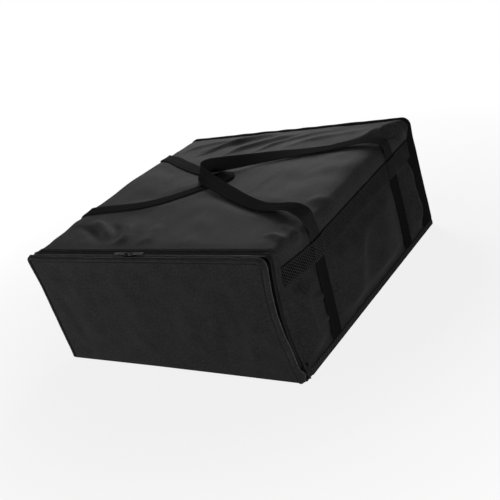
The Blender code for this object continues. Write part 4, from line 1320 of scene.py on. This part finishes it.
slide = {"length": 13 * mm, "width": 9 * mm, "tail": 6.5 * mm, "plate": 1.6 * mm, "meet": -21 * mm,
         "stand": 0.9 * mm, "round": 2.2 * mm}
lipLook = {"length": 5.2 * mm, "height": 2 * mm, "thick": 0.9 * mm, "inset": 1.2 * mm, "forward": 3.5 * mm,
           "foot": 0.1 * mm}
crownLook = {"reach": 3.4 * mm, "rise": 2.9 * mm, "half": 1.0 * mm, "thick": 0.6 * mm, "sunk": 0.3 * mm}
pullTab = {"bar": 1.4 * mm, "length": 24 * mm, "width": 6 * mm, "arm": 1.4 * mm, "window": 5.5 * mm,
           "taper": 0.86, "eye": 1.1 * mm, "eyePlace": 3.6 * mm, "grip": 8 * mm, "gripPlace": 2.2 * mm}


def roundedLoop(corners, radius, steps=5):
    # a polygon with every corner rounded
    corners = [Vector(corner) for corner in corners]
    loop = []
    for before, corner, after in zip(corners[-1:] + corners[:-1], corners, corners[1:] + corners[:1]):
        into, out = (before - corner).normalized(), (after - corner).normalized()
        reach = min(radius, (before - corner).length * 0.45, (after - corner).length * 0.45)
        a, b = corner + into * reach, corner + out * reach
        for i in range(steps + 1):
            t = i / steps
            spot = a * (1 - t) ** 2 + corner * 2 * t * (1 - t) + b * t * t
            loop.append((spot.x, spot.y))
    return loop


def makeSlider(word, side):
    # the slider's plate with its lip and crown, and the pull hanging in the crown
    body = word + "_slider_body"
    end = slide["meet"] + side * bag["seat"] / 2
    middle, tail = end + side * slide["length"] / 2, end + side * slide["length"]
    top = bag["height"] + slide["stand"] + slide["plate"]
    wide, slim = slide["width"] / 2, slide["tail"] / 2
    shape = [(end, -wide), (end, wide), (middle, wide), (tail, slim), (tail, -slim), (middle, -wide)]
    shape = [(x, bag["chain"] + y) for x, y in shape]
    plate = curvePiece(word + "SliderPlate", [roundedLoop(shape, slide["round"])], slide["plate"], 0.35 * mm,
                       finishes["nickel"])
    plate.location.z = top - slide["plate"] / 2
    place(plate, body, "zip_metal", word + "_slider")
    long, tall = lipLook["length"], lipLook["height"]
    lip = curvePiece(word + "SliderLip", [roundedLoop([(0, 0), (long, 0), (long, tall), (0, tall)], 0.6 * mm)],
                     lipLook["thick"], 0.2 * mm, finishes["nickel"])
    lip.rotation_euler.x = math.pi / 2
    lip.location = (end + lipLook["inset"] if side > 0 else end - lipLook["inset"] - long,
                    bag["chain"] + lipLook["forward"], bag["height"] + lipLook["foot"])
    place(lip, body, "zip_metal")
    rings = []
    for a in np.linspace(0, math.pi, 15):
        way = np.array([math.cos(a), 0, math.sin(a)])
        centre = (middle, bag["chain"], top - crownLook["sunk"]) + way * (crownLook["reach"], 0, crownLook["rise"])
        rings.append([centre + way * crownLook["thick"] * math.sin(t) + (0, crownLook["half"] * math.cos(t), 0)
                      for t in np.linspace(0, 2 * math.pi, 11)[:-1]])
    crown = tubePiece(word + "SliderCrown", np.array(rings), np.zeros((15, 11, 2)), finishes["nickel"])
    place(crown, body, "zip_metal")
    makePull(word, side, middle, top + bag["seat"] + pullTab["bar"] / 2)


def makePull(word, side, middle, pivot):
    # the pull tab with its window and eye, and a raised grip on it
    body, bar = word + "_pull_body", pullTab["bar"]
    start = middle - side * bar / 2
    far, half = start + side * pullTab["length"], pullTab["width"] / 2
    slim = half * pullTab["taper"]
    outer = roundedLoop([(start, -half), (start, half), (far, slim), (far, -slim)], 2.4 * mm)
    inner, near = half - pullTab["arm"], start + side * bar
    past = near + side * pullTab["window"]
    window = roundedLoop([(near, inner), (near, -inner), (past, -inner), (past, inner)], 0.8 * mm)
    eye = [(far - side * pullTab["eyePlace"] + pullTab["eye"] * math.cos(a), pullTab["eye"] * math.sin(a))
           for a in np.linspace(0, 2 * math.pi, 15)[:-1]]
    loops = [[(x, bag["chain"] + y) for x, y in loop] for loop in (outer, window, eye)]
    tab = curvePiece(word + "Pull", loops, bar, 0.3 * mm, finishes["glintPullNickel"])
    tab.location.z = pivot
    place(tab, body, "zip_metal", word + "_pull_tab")
    long = pullTab["grip"]
    panel = roundedLoop([(0, -1.5 * mm), (long, -1.4 * mm), (long, 1.4 * mm), (0, 1.5 * mm)], 1.0 * mm)
    grip = curvePiece(word + "PullGrip", [panel], 0.5 * mm, 0.15 * mm, finishes["nickel"])
    gripStart = past + side * pullTab["gripPlace"]
    grip.location = (gripStart if side > 0 else gripStart - long, bag["chain"], pivot + bar / 2 + 0.1 * mm)
    place(grip, body, "zip_metal")


stage = {"reach": 8.0, "deep": -0.0005, "near": 0.4, "far": 0.9, "shareNear": 0.85, "skyStrength": 0.06}


def makeFloor():
    # a white floor that keeps the bag's shadow and turns plain white further out
    white, tree, shader = newFinish("paperWhite", Base_Color=(0.9, 0.9, 0.9, 1), Roughness=0.9,
                                    Specular_IOR_Level=0.0)
    glow = node(tree, "Emission", {"Color": (1, 1, 1, 1), "Strength": 1.0})
    seen = node(tree, "LightPath")
    direct = calc(tree, "MAXIMUM", seen.outputs["Is Glossy Ray"], seen.outputs["Is Transmission Ray"])
    away = node(tree, "VectorMath", {0: node(tree, "NewGeometry").outputs["Position"]}, operation="LENGTH")
    plain = spread(tree, away.outputs["Value"], stage["near"], stage["far"], stage["shareNear"], 1.0)
    camera = calc(tree, "MULTIPLY", seen.outputs["Is Camera Ray"], plain)
    mixed = node(tree, "MixShader", {0: calc(tree, "MAXIMUM", camera, direct), 1: shader.outputs[0],
                                     2: glow.outputs[0]})
    tree.links.new(mixed.outputs[0], tree.nodes["Material Output"].inputs[0])
    data = bpy.data.meshes.new("floor")
    signs = ((-1, -1), (1, -1), (1, 1), (-1, 1))
    corners = [(x * stage["reach"], y * stage["reach"], stage["deep"]) for x, y in signs]
    data.from_pydata(corners, [], [(0, 1, 2, 3)])
    data.materials.append(white)
    floor = bpy.data.objects.new("floor", data)
    bpy.context.scene.collection.objects.link(floor)


def makeSky():
    # plain white to the camera, and a weak even light on the bag
    world = bpy.data.worlds.new("studio")
    bpy.context.scene.world = world
    world.use_nodes = True
    sky = world.node_tree
    base = sky.nodes["Background"]
    base.inputs["Color"].default_value = (1, 1, 1, 1)
    path = node(sky, "LightPath")
    seen = calc(sky, "MAXIMUM", path.outputs["Is Camera Ray"], path.outputs["Is Glossy Ray"])
    seen = calc(sky, "MAXIMUM", seen, path.outputs["Is Transmission Ray"])
    sky.links.new(spread(sky, seen, 0.0, 1.0, stage["skyStrength"], 1.0), base.inputs["Strength"])


# each lamp's name, place, size and watts
lights = (
    ("backTop", (-0.25, 0.6, 0.56), 0.35, 3.7),
    ("frontKey", (-0.9, -1.2, 0.22), 0.3, 5.8),
    ("sideKey", (1.35, -0.95, 0.24), 0.3, 6.0),
)


def makeLights():
    for name, spot, size, watts in lights:
        lamp = bpy.data.lights.new(name, "AREA")
        lamp.energy, lamp.size = watts, size
        made = bpy.data.objects.new(name, lamp)
        made.location = spot
        made.rotation_euler = (Vector((0, 0, 0.1)) - Vector(spot)).to_track_quat("-Z", "Y").to_euler()
        bpy.context.scene.collection.objects.link(made)


viewpoint = {"azimuth": 39.75, "elevation": 23.53, "roll": -18.41, "focal": 820, "frame": 500,
             "place": (0.870, -1.030, 0.663)}


def makeCamera():
    # the photograph's view: found from the bag's corners, with the camera rolled to the left
    a, e, r = (math.radians(viewpoint[word]) for word in ("azimuth", "elevation", "roll"))
    back = Vector((math.sin(a) * math.cos(e), -math.cos(a) * math.cos(e), math.sin(e)))
    right = Vector((0, 0, 1)).cross(back).normalized()
    up = back.cross(right)
    turnedRight = math.cos(r) * right + math.sin(r) * up
    turnedUp = math.cos(r) * up - math.sin(r) * right
    lens = bpy.data.cameras.new("camera")
    lens.sensor_width = 36
    lens.lens = 36 * viewpoint["focal"] / viewpoint["frame"]
    made = bpy.data.objects.new("camera", lens)
    made.matrix_world = Matrix((turnedRight, turnedUp, back)).transposed().to_4x4()
    made.location = viewpoint["place"]
    bpy.context.scene.collection.objects.link(made)
    bpy.context.scene.camera = made


makeCamera()
makeFloor()
makeSky()
makeLights()
makeWalls()
print("walls made")
start, ways, s, walked = makeFlapCloth()
makeFlapTape(makeHem(start, ways, walked), s, walked)
makeFlapLayers()
makeBack()
makeBase()
print("panels made")
makeBodyTape()
makeTeeth("flapTeeth", 1, 0.0, "flap", "flap_zip_teeth")
makeTeeth("bodyTeeth", -1, 0.5, "shell", "body_zip_teeth")
print("zip made")
makeLoop("rightLoop", rightLine, "right_handle")
makeLoop("leftLoop", leftLine, "left_handle")
for word, side in (("right", 1), ("left", -1)):
    makeSewnStrap(word + "FrontStrap", side, strapPlaces[side][0], word + "_front_strap")
    makeSewnStrap(word + "RearStrap", side, strapPlaces[side][1], word + "_rear_strap")
    makeBand(word + "Band", side, word + "_mesh_band")
    makeBandEdges(word, side)
    makeSlider(word, side)
print("straps, bands and sliders made")
makeBackBinding()
makeBaseBinding()
makeMouthBinding()
makeSill()
makeHingeSeam()
makeStitching()
for name in ("left_zip_stop", "right_zip_stop"):
    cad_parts[name].data.materials.clear()
    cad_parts[name].data.materials.append(finishes["nickel"])
print("bindings and stitching made")

bpy.context.scene.view_settings.view_transform = "Standard"
